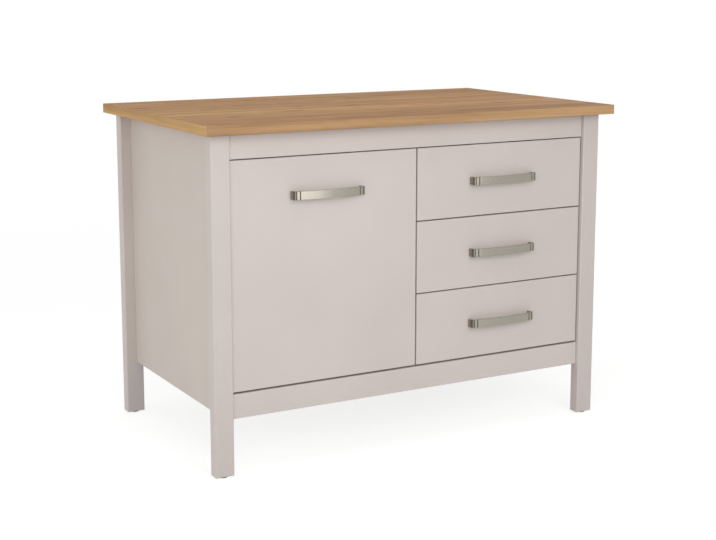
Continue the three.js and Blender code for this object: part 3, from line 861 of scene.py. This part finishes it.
@dataclass
class Assembly:
    """What every sub-assembly shares: the finishes, and the calls that put a piece on its body."""

    finishes: ClassVar[Finishes]
    made: ClassVar[List[Fitted]] = []
    body_of: ClassVar[Dict[str, str]] = {
        node: body for body, nodes in frame["record"]["behaviour"]["bodies"].items() for node in nodes}

    def fit(self, piece: Piece, material: Material, slot: Slot, node: str,
            stands_for: bool = True) -> None:
        """Dresses a piece and puts it on the body that carries a node.

        Args:
            piece: The piece.
            material: Its finish.
            slot: The record's slot.
            node: The node that it replaces or sits on.
            stands_for: Whether it replaces that node.
        """
        if not piece.data.materials:
            piece.data.materials.append(material)
        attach(piece, self.body_of[node])
        if stands_for:
            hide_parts(node)
        self.made.append(Fitted(piece, slot, node, stands_for))
        log.info("%s on %s, %d faces", piece.name, self.body_of[node], len(piece.data.polygons))

    @contextmanager
    def group(self) -> Iterator[List[Fitted]]:
        """Gathers what is fitted, to be copied.

        Yields:
            A list that holds, after the with block, what was fitted inside it.
        """
        mark, gathered = len(self.made), []
        yield gathered
        gathered += self.made[mark:]

    def repeat(self, group: Sequence[Fitted], names: Dict[str, str], node: str) -> None:
        """Copies a group of pieces to another place.

        Args:
            group: The pieces.
            names: What each part of a name becomes.
            node: The group's node that shows, with its counterpart, how far the copy lies from it.
        """
        def renamed(text: str) -> str:
            """A name with its parts replaced."""
            return reduce(lambda name, pair: name.replace(*pair), names.items(), text)

        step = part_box(renamed(node))[0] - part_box(node)[0]
        for first in group:
            twin = duplicate(first.piece, renamed(first.piece.name), step)
            self.fit(twin, first.piece.data.materials[0], first.slot, renamed(first.node), first.stands_for)

    def dress(self, node: str, material: Material) -> None:
        """Gives a CAD node that stays its finish.

        Args:
            node: The node.
            material: Its finish.
        """
        data = frame["nodes"][node].data
        data.materials.clear()
        data.materials.append(material)
        log.info("%s keeps its solid", node)

    def board(self, node: str, material: Material, slot: Slot, easing: float,
              fall: Pair = (0.0, 0.0)) -> Piece:
        """A board in the place of a node, with rounded edges.

        Args:
            node: The node that it replaces.
            material: Its finish.
            slot: The record's slot.
            easing: The width of the rounding.
            fall: How far its bottom and its top lie below the node's.

        Returns:
            The piece.
        """
        low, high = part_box(node)
        low.z -= fall[0]
        high.z -= fall[1]
        piece = block(node + "_board", low, high)
        soften(piece, easing)
        self.fit(piece, material, slot, node)
        return piece

    def screws(self, name: str, places: Sequence[Point], axis: str, out: int, node: str,
               radius: float = PanHead.radius) -> None:
        """A row of zinc-plated screw heads: the first is modelled, and the rest are its copies.

        Args:
            name: The row's name.
            places: The point under each head.
            axis: The screws' axis.
            out: 1 or -1, the way the heads face.
            node: The node that they sit on.
            radius: The heads' radius.
        """
        first = PanHead(radius).model(name, places[0], axis, out)
        rest = [duplicate(first, "copy", Vector(place) - Vector(places[0])) for place in places[1:]]
        self.fit(join(name, [first, *rest]), self.finishes.zinc, Slot.ZINC, node, False)


# ---- worktop, legs and boards


@dataclass
class Worktop(Assembly):
    """The oak worktop, with its arrises lightly rounded."""

    easing: float = 1.8 * MM
    steps: int = 5

    def build(self) -> None:
        """Models the worktop, and gives its long edges and its ends their own bands."""
        top = block("worktop_boards", *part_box("worktop"))
        top.data.materials.append(self.finishes.oak)
        paint_faces(top, self.finishes.oak_edge, lambda centre, normal: abs(normal.y) > FACING)
        paint_faces(top, self.finishes.oak_end, lambda centre, normal: abs(normal.x) > FACING)
        soften(top, self.easing, self.steps)
        self.fit(top, self.finishes.oak, Slot.OAK, "worktop")


@dataclass
class Legs(Assembly):
    """Four square legs with rounded long edges and a bevelled foot, each on a plastic glide."""

    rounding: float = 3.0 * MM
    foot_bevel: float = 1.5 * MM
    steps: int = 5
    stem: float = 3.0 * MM
    disc_gap: float = 0.2 * MM
    disc_rim: float = 0.5 * MM
    first: str = "front_left"
    others: Names = ("front_right", "back_left", "back_right")

    def build(self) -> None:
        """Models the first leg and its glide, and copies them to the other corners."""
        node = "leg_" + self.first
        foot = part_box(node)[0].z
        with self.group() as pieces:
            self.leg(node, foot + MM / 10)
            self.glide("glide_" + self.first, foot - self.disc_gap)
        for corner in self.others:
            self.repeat(pieces, {self.first: corner}, node)

    def leg(self, node: str, near_foot: float) -> None:
        """One leg.

        Args:
            node: The node that it replaces.
            near_foot: The height under which only the foot's own edges lie.
        """
        post = block(node + "_post", *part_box(node))
        with editing(post):
            choose_edges(post, lambda p, q: min(p.z, q.z) < near_foot < max(p.z, q.z))
            bevel(self.rounding, self.steps)
            choose_edges(post, lambda p, q: max(p.z, q.z) < near_foot)
            bevel(self.foot_bevel, 2)
        smooth(post)
        # The leg takes the darker copy of the paint, which is painted shade.
        self.fit(post, self.finishes.leg_paint, Slot.PAINT, node)

    def glide(self, node: str, disc_top: float) -> None:
        """One glide: a disc with a rounded rim and the stem that holds it in the leg.

        Args:
            node: The node that it replaces.
            disc_top: The height of the disc's upper face.
        """
        low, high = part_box(node)
        radius, thick = (high.x - low.x) / 2, disc_top - low.z
        centre = ((low.x + high.x) / 2, (low.y + high.y) / 2, low.z + thick / 2)
        disc = cylinder(node + "_disc", centre, radius, thick, "Z", 40)
        with editing(disc):
            choose_faces(disc, lambda middle, normal: normal.z > FACING)
            bpy.ops.mesh.inset(thickness=radius - self.stem)
            step = (0.0, 0.0, high.z - disc_top)
            bpy.ops.mesh.extrude_region_move(TRANSFORM_OT_translate={"value": step})
        soften(disc, self.disc_rim, 2)
        self.fit(disc, self.finishes.plastic, Slot.GLIDE, node)


@dataclass
class Carcass(Assembly):
    """The fixed boards: painted rails, sides and back, and the white boards inside."""

    paint_easing: float = 1.2 * MM
    white_easing: float = 0.5 * MM
    hole_radius: float = 2.8 * MM
    hole_depth: float = 10.0 * MM
    hole_pitch: float = 32.0 * MM
    holes: int = 5
    screw_radius: float = 4.5 * MM
    screw_shares: Tuple[float, ...] = (0.12, 0.38, 0.62, 0.88)
    rail_falls: Dict[str, Pair] = field(default_factory=lambda: {
        "top_rail": (0.6 * MM, 0.0), "bottom_rail": (0.0, 1.8 * MM)})
    panels: Dict[str, Place] = field(default_factory=lambda: {
        "side_panel_left": (1.0, 0.0, 0.0), "side_panel_right": (-1.0, 0.0, 0.0),
        "back_panel": (0.0, -1.0, 0.0)})
    white: Names = ("bottom_panel", "stretcher_front", "stretcher_back", "shelf", "partition")
    pins: Names = ("front_left", "front_right", "back_left", "back_right")

    def build(self) -> None:
        """Models the boards, drills the two that carry the shelf, and adds pins and screws."""
        for node, fall in self.rail_falls.items():
            self.board(node, self.finishes.paint, Slot.PAINT, self.paint_easing, fall)
        for node in self.white:
            self.board(node, self.finishes.white, Slot.WHITE, self.white_easing)
        for node, inward in self.panels.items():
            # The side and back panels take the darker, yellower copy of the paint, which is partly painted
            # shade.
            piece = self.board(node, self.finishes.panel_paint, Slot.PAINT, self.paint_easing)
            inside = Vector(inward)
            paint_faces(piece, self.finishes.white, lambda centre, normal: normal.dot(inside) > FACING)
        self.drill("side_panel_left", Side.LEFT)
        self.drill("partition", Side.RIGHT)
        for place in self.pins:
            self.dress("shelf_pin_" + place, self.finishes.zinc)
        self.worktop_screws()

    def drill(self, node: str, side: Side) -> None:
        """Rows of blind holes for the shelf pins.

        Args:
            node: The board that is drilled.
            side: The side of the bay that the board is on.
        """
        _, face = side.faces(*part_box(node))
        drills = []
        for row in ("front", "back"):
            low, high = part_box(f"shelf_pin_{row}_{side.word}")
            y, z = (low.y + high.y) / 2, (low.z + high.z) / 2
            for number in range(self.holes):
                place = (face, y, z + (number - (self.holes - 1) / 2) * self.hole_pitch)
                drills.append(cylinder("drill", place, self.hole_radius, 2 * self.hole_depth, "X", 20))
        piece = bpy.data.objects[node + "_board"]
        cut(piece, [join("drills", drills)])
        smooth(piece)

    def worktop_screws(self) -> None:
        """The screws under the front and back stretchers, which hold the worktop down."""
        places = []
        for node in ("stretcher_front", "stretcher_back"):
            low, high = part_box(node)
            y = (low.y + high.y) / 2
            places += [(low.x + (high.x - low.x) * share, y, low.z) for share in self.screw_shares]
        self.screws("worktop_screws", places, "Z", -1, "stretcher_front", self.screw_radius)


# ---- door and hinges


@dataclass
class CupHinge(Assembly):
    """A concealed hinge: the cup in the door, the gooseneck arm and its mounting plate."""

    place: str
    rim: float = 1.5 * MM
    cup_radius: float = 17.5 * MM
    cup_screw_from_axis: float = 7.0 * MM
    cup_screw_from_middle: float = 22.5 * MM
    plate_face: float = 2.0 * MM
    plate_screw_from_middle: float = 16.0 * MM
    plate_screw_radius: float = 3.6 * MM
    arm_face: float = 2.4 * MM
    arm_screws_from_back: Pair = (12.0 * MM, 30.0 * MM)
    screw_radius: float = 3.4 * MM

    def finish_solids(self) -> None:
        """Gives the hinge's solids their finish."""
        for part in ("cup", "arm", "plate", "pin"):
            self.dress(f"hinge_{part}_{self.place}", self.finishes.zinc)

    def cup_axis(self) -> Pair:
        """The X and Z of the cup's axis, which lies one rim and one radius from the door's edge."""
        low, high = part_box("hinge_cup_" + self.place)
        return low.x + self.rim + self.cup_radius, (low.z + high.z) / 2

    def add_screws(self) -> None:
        """The screws of the plate and of the cup's flange, and the arm's adjusting screws."""
        plate, cup, arm = (f"hinge_{part}_{self.place}" for part in ("plate", "cup", "arm"))
        low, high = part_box(plate)
        face, middle = low.x + self.plate_face, (low + high) / 2
        places = [(face, middle.y, middle.z + side * self.plate_screw_from_middle) for side in (-1, 1)]
        self.screws(plate + "_screws", places, "X", 1, plate, self.plate_screw_radius)

        x, z = self.cup_axis()
        x, back = x + self.cup_screw_from_axis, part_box(cup)[1].y
        places = [(x, back, z + side * self.cup_screw_from_middle) for side in (-1, 1)]
        self.screws(cup + "_screws", places, "Y", 1, cup, self.screw_radius)

        low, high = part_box(arm)
        face, z = low.x + self.arm_face, (low.z + high.z) / 2
        places = [(face, high.y - far, z) for far in self.arm_screws_from_back]
        self.screws(arm + "_screws", places, "X", 1, arm, self.screw_radius)


@dataclass
class Door(Assembly):
    """The door panel with its two cup bores, its hinges and its bumpers."""

    easing: float = 1.4 * MM
    closing_trim: float = 0.9 * MM
    bore_gap: float = 0.2 * MM
    bore_depth: float = 13.2 * MM
    bumper_rounding: float = 0.7 * MM
    first: str = "lower"
    other: str = "upper"

    def build(self) -> None:
        """Models the door, its lower hinge and its lower bumper, and copies these to the upper ones."""
        hinges = [CupHinge(place) for place in (self.first, self.other)]
        self.panel(hinges)
        for hinge in hinges:
            hinge.finish_solids()
        with self.group() as heads:
            hinges[0].add_screws()
        with self.group() as bumpers:
            self.bumper("door_bumper_" + self.first)
        for group, node in ((heads, "hinge_cup_"), (bumpers, "door_bumper_")):
            self.repeat(group, {self.first: self.other}, node + self.first)

    def panel(self, hinges: Sequence[CupHinge]) -> None:
        """The door's board, a little short at its closing edge.

        Args:
            hinges: The hinges whose cups are bored into it.
        """
        low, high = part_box("door_panel")
        high.x -= self.closing_trim
        panel = block("door_panel_board", low, high)
        soften(panel, self.easing)
        bores = []
        for hinge in hinges:
            x, z = hinge.cup_axis()
            radius = hinge.cup_radius + self.bore_gap
            bores.append(cylinder("cup_bore", (x, high.y, z), radius, 2 * self.bore_depth, "Y", 48))
        cut(panel, bores)
        smooth(panel)
        self.fit(panel, self.finishes.paint, Slot.PAINT, "door_panel")

    def bumper(self, node: str) -> None:
        """A silicone dot on the closing edge.

        Args:
            node: The node that it replaces.
        """
        low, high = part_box(node)
        dot = cylinder(node + "_dot", (low + high) / 2, (high.x - low.x) / 2, high.y - low.y, "Y", 28)
        with editing(dot):
            choose_faces(dot, lambda centre, normal: normal.y > FACING)
            bevel(self.bumper_rounding, 4)
        smooth(dot)
        self.fit(dot, self.finishes.silicone, Slot.BUMPER, node)


# ---- drawers and runners


@dataclass
class Roller(Assembly):
    """A nylon roller on a riveted steel axle."""

    radius: float = 9.0 * MM
    width: float = 6.5 * MM
    rim: float = 1.6 * MM
    hub_share: float = 0.7
    easing: float = 0.4 * MM
    rivet: float = 2.6 * MM
    rivet_proud: float = 0.3 * MM
    rivet_easing: float = 0.5 * MM

    def build(self, name: str, centre: Point, node: str) -> None:
        """Models the wheel with its recessed faces and the rivet.

        Args:
            name: The roller's name.
            centre: Its middle.
            node: The node that carries it.
        """
        wheel = cylinder(name, centre, self.radius, self.width, "X", 40)
        with editing(wheel):
            choose_faces(wheel, lambda at, normal: abs(normal.x) > FACING)
            bpy.ops.mesh.inset(thickness=self.rim)
            bpy.ops.transform.resize(value=(self.hub_share, 1.0, 1.0))
        soften(wheel, self.easing, 2)
        self.fit(wheel, self.finishes.nylon, Slot.DRAWER, node, False)
        axle = cylinder(name + "_axle", centre, self.rivet, self.width + 2 * self.rivet_proud, "X", 24)
        soften(axle, self.rivet_easing, 2)
        self.fit(axle, self.finishes.zinc, Slot.ZINC, node, False)


@dataclass
class Runner(Assembly):
    """A folded steel channel on the board, with a roller at its front."""

    row: str
    side: Side
    steel: FoldedSheet = FoldedSheet()
    roller_from_board: float = 6.55 * MM
    roller_from_front: float = 12.0 * MM
    roller_lift: float = 10.8 * MM
    screw_radius: float = 3.6 * MM
    screw_shares: Tuple[float, ...] = (0.09, 0.35, 0.62, 0.9)

    def build(self) -> None:
        """Models the channel, its roller and its screws."""
        node = f"runner_{self.row}_{self.side.word}"
        low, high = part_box(node)
        away, half = self.side.value, self.steel.gauge / 2
        board_x, tip_x = self.side.faces(low, high)
        web, bottom, top = board_x + away * half, low.z + half, high.z - half
        line = [(tip_x, bottom), (web, bottom), (web, top), (tip_x, top)]
        channel = self.steel.fold(node + "_channel", line, low.y, high.y)
        self.fit(channel, self.finishes.zinc, Slot.ZINC, node)
        roller_x = board_x + away * self.roller_from_board
        centre = (roller_x, low.y + self.roller_from_front, low.z + self.roller_lift)
        Roller().build(node + "_roller", centre, node)
        face, z, long = board_x + away * self.steel.gauge, (low.z + high.z) / 2, high.y - low.y
        places = [(face, low.y + share * long, z) for share in self.screw_shares]
        self.screws(node + "_screws", places, "X", away, node, self.screw_radius)


@dataclass
class Drawer(Assembly):
    """A drawer: painted front, folded steel sides with their runners, white floor and back."""

    row: str
    steel: FoldedSheet = FoldedSheet()
    front_easing: float = 1.4 * MM
    floor_easing: float = 0.4 * MM
    back_easing: float = 0.5 * MM
    hem: float = 5.5 * MM
    hem_drop: float = 6.0 * MM
    wall_from_tip: float = 10.0 * MM
    carrier_height: float = 21.1 * MM
    carrier_leg: float = 14.0 * MM
    carrier_gap: float = 0.02 * MM
    roller_from_tip: float = 3.75 * MM
    roller_from_back: float = 12.0 * MM
    roller_lift: float = 11.8 * MM
    tab_width: float = 12.0 * MM
    tab_height: float = 52.0 * MM
    tab_lift: float = 17.7 * MM
    tab_easing: float = 0.5 * MM
    tab_screw_radius: float = 3.4 * MM
    tab_screw_shares: Pair = (0.22, 0.78)
    back_screw_radius: float = 3.2 * MM
    back_screw_shares: Pair = (0.55, 0.85)

    def build(self) -> None:
        """Models the drawer and its two runners."""
        name, white = "drawer_" + self.row, self.finishes.white
        self.board(name + "_front", self.finishes.paint, Slot.PAINT, self.front_easing)
        for side in Side:
            self.steel_side(side)
            Runner(self.row, side).build()
        self.board(name + "_floor", white, Slot.WHITE, self.floor_easing)
        self.board(name + "_back", white, Slot.WHITE, self.back_easing)
        self.back_screws(name + "_back")

    def steel_side(self, side: Side) -> None:
        """One steel side: wall with lip and hem, carrier angle, front tab, roller and screws.

        Args:
            side: The side of the drawer.
        """
        node, finish = f"drawer_{self.row}_side_{side.word}", self.finishes.drawer_steel
        low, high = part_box(node)
        away, half = side.value, self.steel.gauge / 2
        tip_x, lip_x = side.faces(low, high)
        bottom, top, hem_z = low.z + half, high.z - half, high.z - self.hem_drop
        wall_x = tip_x + away * (self.wall_from_tip + half)
        hem_x = wall_x - away * (self.hem - self.steel.gauge)
        line = [(lip_x, bottom), (wall_x, bottom), (wall_x, top), (hem_x, top), (hem_x, hem_z)]
        wall = self.steel.fold(node + "_wall", line, low.y, high.y)
        self.fit(wall, finish, Slot.DRAWER, node)

        flange_z = low.z + self.carrier_height + half
        outside = wall_x - away * (self.steel.gauge + self.carrier_gap)
        line = [(tip_x, flange_z), (outside, flange_z), (outside, flange_z + self.carrier_leg)]
        carrier = self.steel.fold(node + "_carrier", line, low.y, high.y)
        self.fit(carrier, finish, Slot.DRAWER, node, False)

        foot = Vector((wall_x + away * half, low.y, low.z + self.tab_lift))
        reach = Vector((away * self.tab_width, self.steel.gauge, self.tab_height))
        tab = block(node + "_tab", foot, foot + reach)
        soften(tab, self.tab_easing, 2)
        self.fit(tab, finish, Slot.DRAWER, node, False)
        x, y = foot.x + reach.x / 2, low.y + self.steel.gauge
        places = [(x, y, foot.z + share * self.tab_height) for share in self.tab_screw_shares]
        self.screws(node + "_screws", places, "Y", 1, node, self.tab_screw_radius)

        roller_x = tip_x + away * self.roller_from_tip
        centre = (roller_x, high.y - self.roller_from_back, low.z + self.roller_lift)
        Roller().build(node + "_roller", centre, node)

    def back_screws(self, node: str) -> None:
        """The screws through each side into the back board.

        Args:
            node: The node of the back board.
        """
        low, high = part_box(node)
        y, tall = (low.y + high.y) / 2, high.z - low.z
        for side in Side:
            x = side.faces(low, high)[0] - side.value * self.steel.gauge
            places = [(x, y, low.z + share * tall) for share in self.back_screw_shares]
            name = f"{node}_screws_{side.word}"
            self.screws(name, places, "X", -side.value, node, self.back_screw_radius)


@dataclass
class DrawerStack(Assembly):
    """The three equal drawers: the bottom one is modelled, and the others are its copies."""

    rows: ClassVar[Names] = ("bottom", "middle", "top")

    def build(self) -> None:
        """Models the first drawer with its runners and copies it up the bay."""
        first, *others = self.rows
        with self.group() as pieces:
            Drawer(first).build()
        for row in others:
            self.repeat(pieces, {first: row}, f"drawer_{first}_front")


# ---- handles


@dataclass
class BowHandle(Assembly):
    """A bowed bar of one thickness that turns back to two feet."""

    node: str
    carrier: str
    thickness: float = 5.0 * MM
    foot: float = 8.0 * MM
    corner: float = 5.5 * MM
    corner_steps: int = 8
    bow: float = 590.0 * MM
    bow_steps: int = 36
    easing: float = 1.0 * MM
    easing_angle: float = 50.0
    grooves: Pair = (7.0 * MM, 16.5 * MM)
    groove_radius: float = 1.6 * MM
    groove_reach: float = 1.02
    groove_dullness: float = 1.6
    block_dullness: float = 0.35
    # Painted shade round the outer corners: its strength, the angle where it is darkest and how far it
    # spreads.
    corner_dullness: float = 1.8
    dullest_angle: float = 56.0
    angle_spread: float = 20.0
    most_dullness: float = 0.82
    screw_from_middle: float = 96.0 * MM

    def __post_init__(self) -> None:
        """Works out the bar's outline from the node's box."""
        self.low, self.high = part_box(self.node)
        self.middle = (self.low.x + self.high.x) / 2
        self.half = (self.high.x - self.low.x) / 2
        self.z = (self.low.z + self.high.z) / 2
        self.corner_x = self.half - self.thickness / 2 - self.corner
        self.sweep = math.asin(self.corner_x / (self.bow - self.corner))
        self.bow_y = self.low.y + self.thickness / 2 + self.bow
        self.corner_y = self.bow_y - (self.bow - self.corner) * math.cos(self.sweep)

    def build(self) -> None:
        """Models the handle, and its two screws on the back of the front."""
        bar = self.bar()
        self.thicken_feet(bar)
        soften(bar, self.easing, 3, self.easing_angle)
        self.cut_grooves(bar)
        # Each vertex gets its share of the darker colour: patina in the grooves, painted shade round the
        # outer corners.
        marks = bar.data.attributes.new(TARNISH_AND_SHADE, "FLOAT", "POINT")
        for vertex, mark in zip(bar.data.vertices, marks.data):
            mark.value = self.dullness(abs(vertex.co.x - self.middle), vertex.co.y)
        self.fit(bar, self.finishes.nickel, Slot.NICKEL, self.node)
        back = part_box(self.carrier)[1].y
        places = [(self.middle + side * self.screw_from_middle, back, self.z) for side in (-1, 1)]
        self.screws(self.node + "_screws", places, "Y", 1, self.carrier)

    def bar(self) -> Piece:
        """Sweeps the left foot's edge round the outline, and gives the strip its thickness.

        Returns:
            The bar.
        """
        straight = self.high.y - self.corner_y
        centre = (self.middle - self.half + self.thickness / 2, (self.high.y + self.corner_y) / 2, self.z)
        turn = (math.pi / 2, 0.0, math.pi / 2)
        bar = sheet(self.node + "_bow", centre, turn, (straight, self.high.z - self.low.z))
        corner_turn = math.pi / 2 - self.sweep
        turns = ((self.corner_steps, corner_turn, -self.corner_x, self.corner_y),
                 (self.bow_steps, 2 * self.sweep, 0.0, self.bow_y),
                 (self.corner_steps, corner_turn, self.corner_x, self.corner_y))
        with editing(bar):
            choose_edges(bar, lambda p, q: max(p.y, q.y) < self.corner_y + MM / 100)
            for steps, angle, x, y in turns:
                pivot = (self.middle + x, y, 0.0)
                bpy.ops.mesh.spin(steps=steps, angle=angle, center=pivot, axis=(0.0, 0.0, -1.0))
            bpy.ops.mesh.extrude_edges_move(TRANSFORM_OT_translate={"value": (0.0, straight, 0.0)})
            bpy.ops.mesh.select_all(action="SELECT")
            bpy.ops.mesh.remove_doubles(threshold=MM / 1000)
            face_outwards()
        modify(bar, "SOLIDIFY", thickness=self.thickness, offset=0.0, use_even_offset=True)
        return bar

    def thicken_feet(self, bar: Piece) -> None:
        """Brings the inner faces of the feet in to their full width.

        Args:
            bar: The handle.
        """
        for side in (-1, 1):
            with editing(bar):
                choose_faces(bar, lambda centre, normal: -normal.x * side > FACING and
                             (centre.x - self.middle) * side > 0.0 and centre.y > self.corner_y)
                step = (-side * (self.foot - self.thickness), 0.0, 0.0)
                bpy.ops.mesh.extrude_region_move(TRANSFORM_OT_translate={"value": step})

    def cut_grooves(self, bar: Piece) -> None:
        """Cuts the two round grooves beside each end of the bar.

        Args:
            bar: The handle.
        """
        tall, cutters = 2 * (self.high.z - self.low.z), []
        for from_end in self.grooves:
            reach = self.half - from_end
            front = self.low.y + self.bow - math.sqrt(self.bow ** 2 - reach ** 2)
            for side in (-1, 1):
                place = (self.middle + side * reach, front, self.z)
                cutters.append(cylinder("groove", place, self.groove_radius, tall, "Z", 24))
        cut(bar, cutters)
        smooth(bar)

    def dullness(self, x: float, y: float) -> float:
        """How far the nickel turns to its darker colour at a point.

        It is darker in the grooves, which is patina, faintly darker on the end blocks, and darker round the
        outer corners, which is painted shade.

        Args:
            x: How far a point lies from the bar's middle.
            y: The point's Y.

        Returns:
            The share of the darker colour, from zero to one.
        """
        from_end = self.half - x
        depth = self.bow + self.thickness / 2 - math.hypot(x, y - self.bow_y)
        shares = [0.0]
        if depth < 2 * self.groove_radius:
            if any(abs(from_end - at) < self.groove_reach * self.groove_radius for at in self.grooves):
                shares.append(self.groove_dullness * depth / self.groove_radius)
            if from_end < self.grooves[0]:
                shares.append(self.block_dullness)
        # Painted shade: a band round each outer corner, darkest where the rounded corner faces one way.
        if x > self.corner_x and y < self.corner_y:
            angle = math.degrees(math.atan2(x - self.corner_x, self.corner_y - y))
            shares.append(self.corner_dullness - abs(angle - self.dullest_angle) / self.angle_spread)
        return self.most_dullness * min(1.0, max(shares))


@dataclass
class Handles(Assembly):
    """The four equal handles: the door's is modelled, and the drawers have its copies."""

    def build(self) -> None:
        """Models the door's handle and copies it to each drawer front."""
        with self.group() as pieces:
            BowHandle("door_handle", "door_panel").build()
        for row in DrawerStack.rows:
            names = {"door_handle": f"drawer_{row}_handle", "door_panel": f"drawer_{row}_front"}
            self.repeat(pieces, names, "door_handle")


# ---- studio


@dataclass
class Lamp:
    """One soft area lamp that looks at the unit."""

    name: str
    place: Place
    size: float
    watts: float
    mirrored_only: bool = False

    def build(self, target: Vector) -> None:
        """Adds the lamp.

        Args:
            target: The point that it faces.
        """
        data = bpy.data.lights.new(self.name, "AREA")
        data.shape = "SQUARE"
        data.size = self.size
        data.energy = self.watts
        lamp = bpy.data.objects.new(self.name, data)
        bpy.context.scene.collection.objects.link(lamp)
        lamp.visible_camera = False
        lamp.visible_diffuse = not self.mirrored_only
        lamp.location = self.place
        lamp.rotation_euler = (target - Vector(self.place)).to_track_quat("-Z", "Y").to_euler()


@dataclass
class Studio:
    """A pale floor, a white background, soft lamps and the camera at the photograph's angle."""

    lens: float = 70.5
    sensor: float = 36.0
    yaw: float = 29.222
    pitch: float = 9.584
    camera: Place = (-1.8689, -3.3451, 1.1955)
    shift: float = -50.0 / 716.0
    ambient: float = 0.45
    floor_size: float = 80.0
    floor_drop: float = 0.2 * MM
    floor_glow: float = 0.74
    floor_shade: float = 0.40
    floor_clouds: Pair = (0.68, 0.72)
    fade: Pair = (1.3, 3.6)
    lamps: Tuple[Lamp, ...] = field(default_factory=lambda: (
        Lamp("handle_card", (-0.05, -2.5, 0.55), 1.4, 9.5, mirrored_only=True),
        Lamp("front_lamp", (0.1, -2.6, 1.6), 1.6, 20.5),
        Lamp("key_lamp", (-2.2, -3.2, 1.4), 2.0, 28.5),
        Lamp("side_lamp", (-3.8, -0.1, 1.3), 2.0, 26.0),
        Lamp("back_lamp", (2.8, 2.4, 0.5), 1.0, 30.0),
        Lamp("top_lamp", (-0.5, -0.3, 3.0), 2.2, 15.5),
    ))

    def build(self) -> None:
        """Sets up the studio."""
        self.view()
        self.floor()
        self.world()
        low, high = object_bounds()
        for lamp in self.lamps:
            lamp.build((low + high) / 2)
        bpy.context.scene.view_settings.view_transform = "Standard"

    def view(self) -> None:
        """The camera, tilted down a little and shifted a little."""
        data = bpy.data.cameras.new("camera")
        data.lens = self.lens
        data.sensor_width = self.sensor
        data.shift_y = self.shift
        camera = bpy.data.objects.new("camera", data)
        bpy.context.scene.collection.objects.link(camera)
        camera.location = self.camera
        camera.rotation_euler = (math.radians(90.0 - self.pitch), 0.0, -math.radians(self.yaw))
        bpy.context.scene.camera = camera

    def floor(self) -> None:
        """The pale floor: where it is seen it fades to white, and keeps the unit's soft shadow."""
        size = (self.floor_size, self.floor_size)
        floor = sheet("studio_floor", (0.0, 0.0, -self.floor_drop), (0.0, 0.0, 0.0), size)
        material = bpy.data.materials.new("studio_floor")
        recipe = Recipe(material)
        shown = recipe.seen()
        place = recipe.coordinates()
        away = recipe.add("VectorMath", {0: place}, operation="LENGTH").outputs["Value"]
        glow = recipe.span(away, *self.fade, self.floor_glow, 1.0)
        shade = recipe.span(away, *self.fade, self.floor_shade, 0.0)
        cloud = recipe.spread(recipe.noise(place, 2.0), *self.floor_clouds)
        level = recipe.maths("MULTIPLY", cloud, recipe.maths("SUBTRACT", 1.0, shown))
        level = recipe.maths("MULTIPLY_ADD", shade, shown, level)
        recipe.set("Base Color", recipe.grey(level))
        recipe.set("Roughness", 1.0)
        recipe.set("Specular IOR Level", 0.0)
        recipe.set("Emission Color", (*ONES, 1.0))
        recipe.set("Emission Strength", recipe.maths("MULTIPLY", glow, shown))
        floor.data.materials.append(material)
        floor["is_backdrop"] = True

    def world(self) -> None:
        """White where it is seen or reflected, and a softer level as light."""
        world = bpy.data.worlds.new("studio")
        bpy.context.scene.world = world
        recipe = Recipe(world, "Background")
        recipe.set("Color", (*ONES, 1.0))
        recipe.set("Strength", recipe.span(recipe.seen(), 0.0, 1.0, self.ambient, 1.0))


def main() -> None:
    """Builds the studio and every sub-assembly in order."""
    logging.basicConfig(level=logging.INFO, format="%(message)s")
    Assembly.finishes = Finishes()
    for part in (Studio(), Worktop(), Legs(), Carcass(), Door(), DrawerStack(), Handles()):
        part.build()


if __name__ == "__main__":
    main()
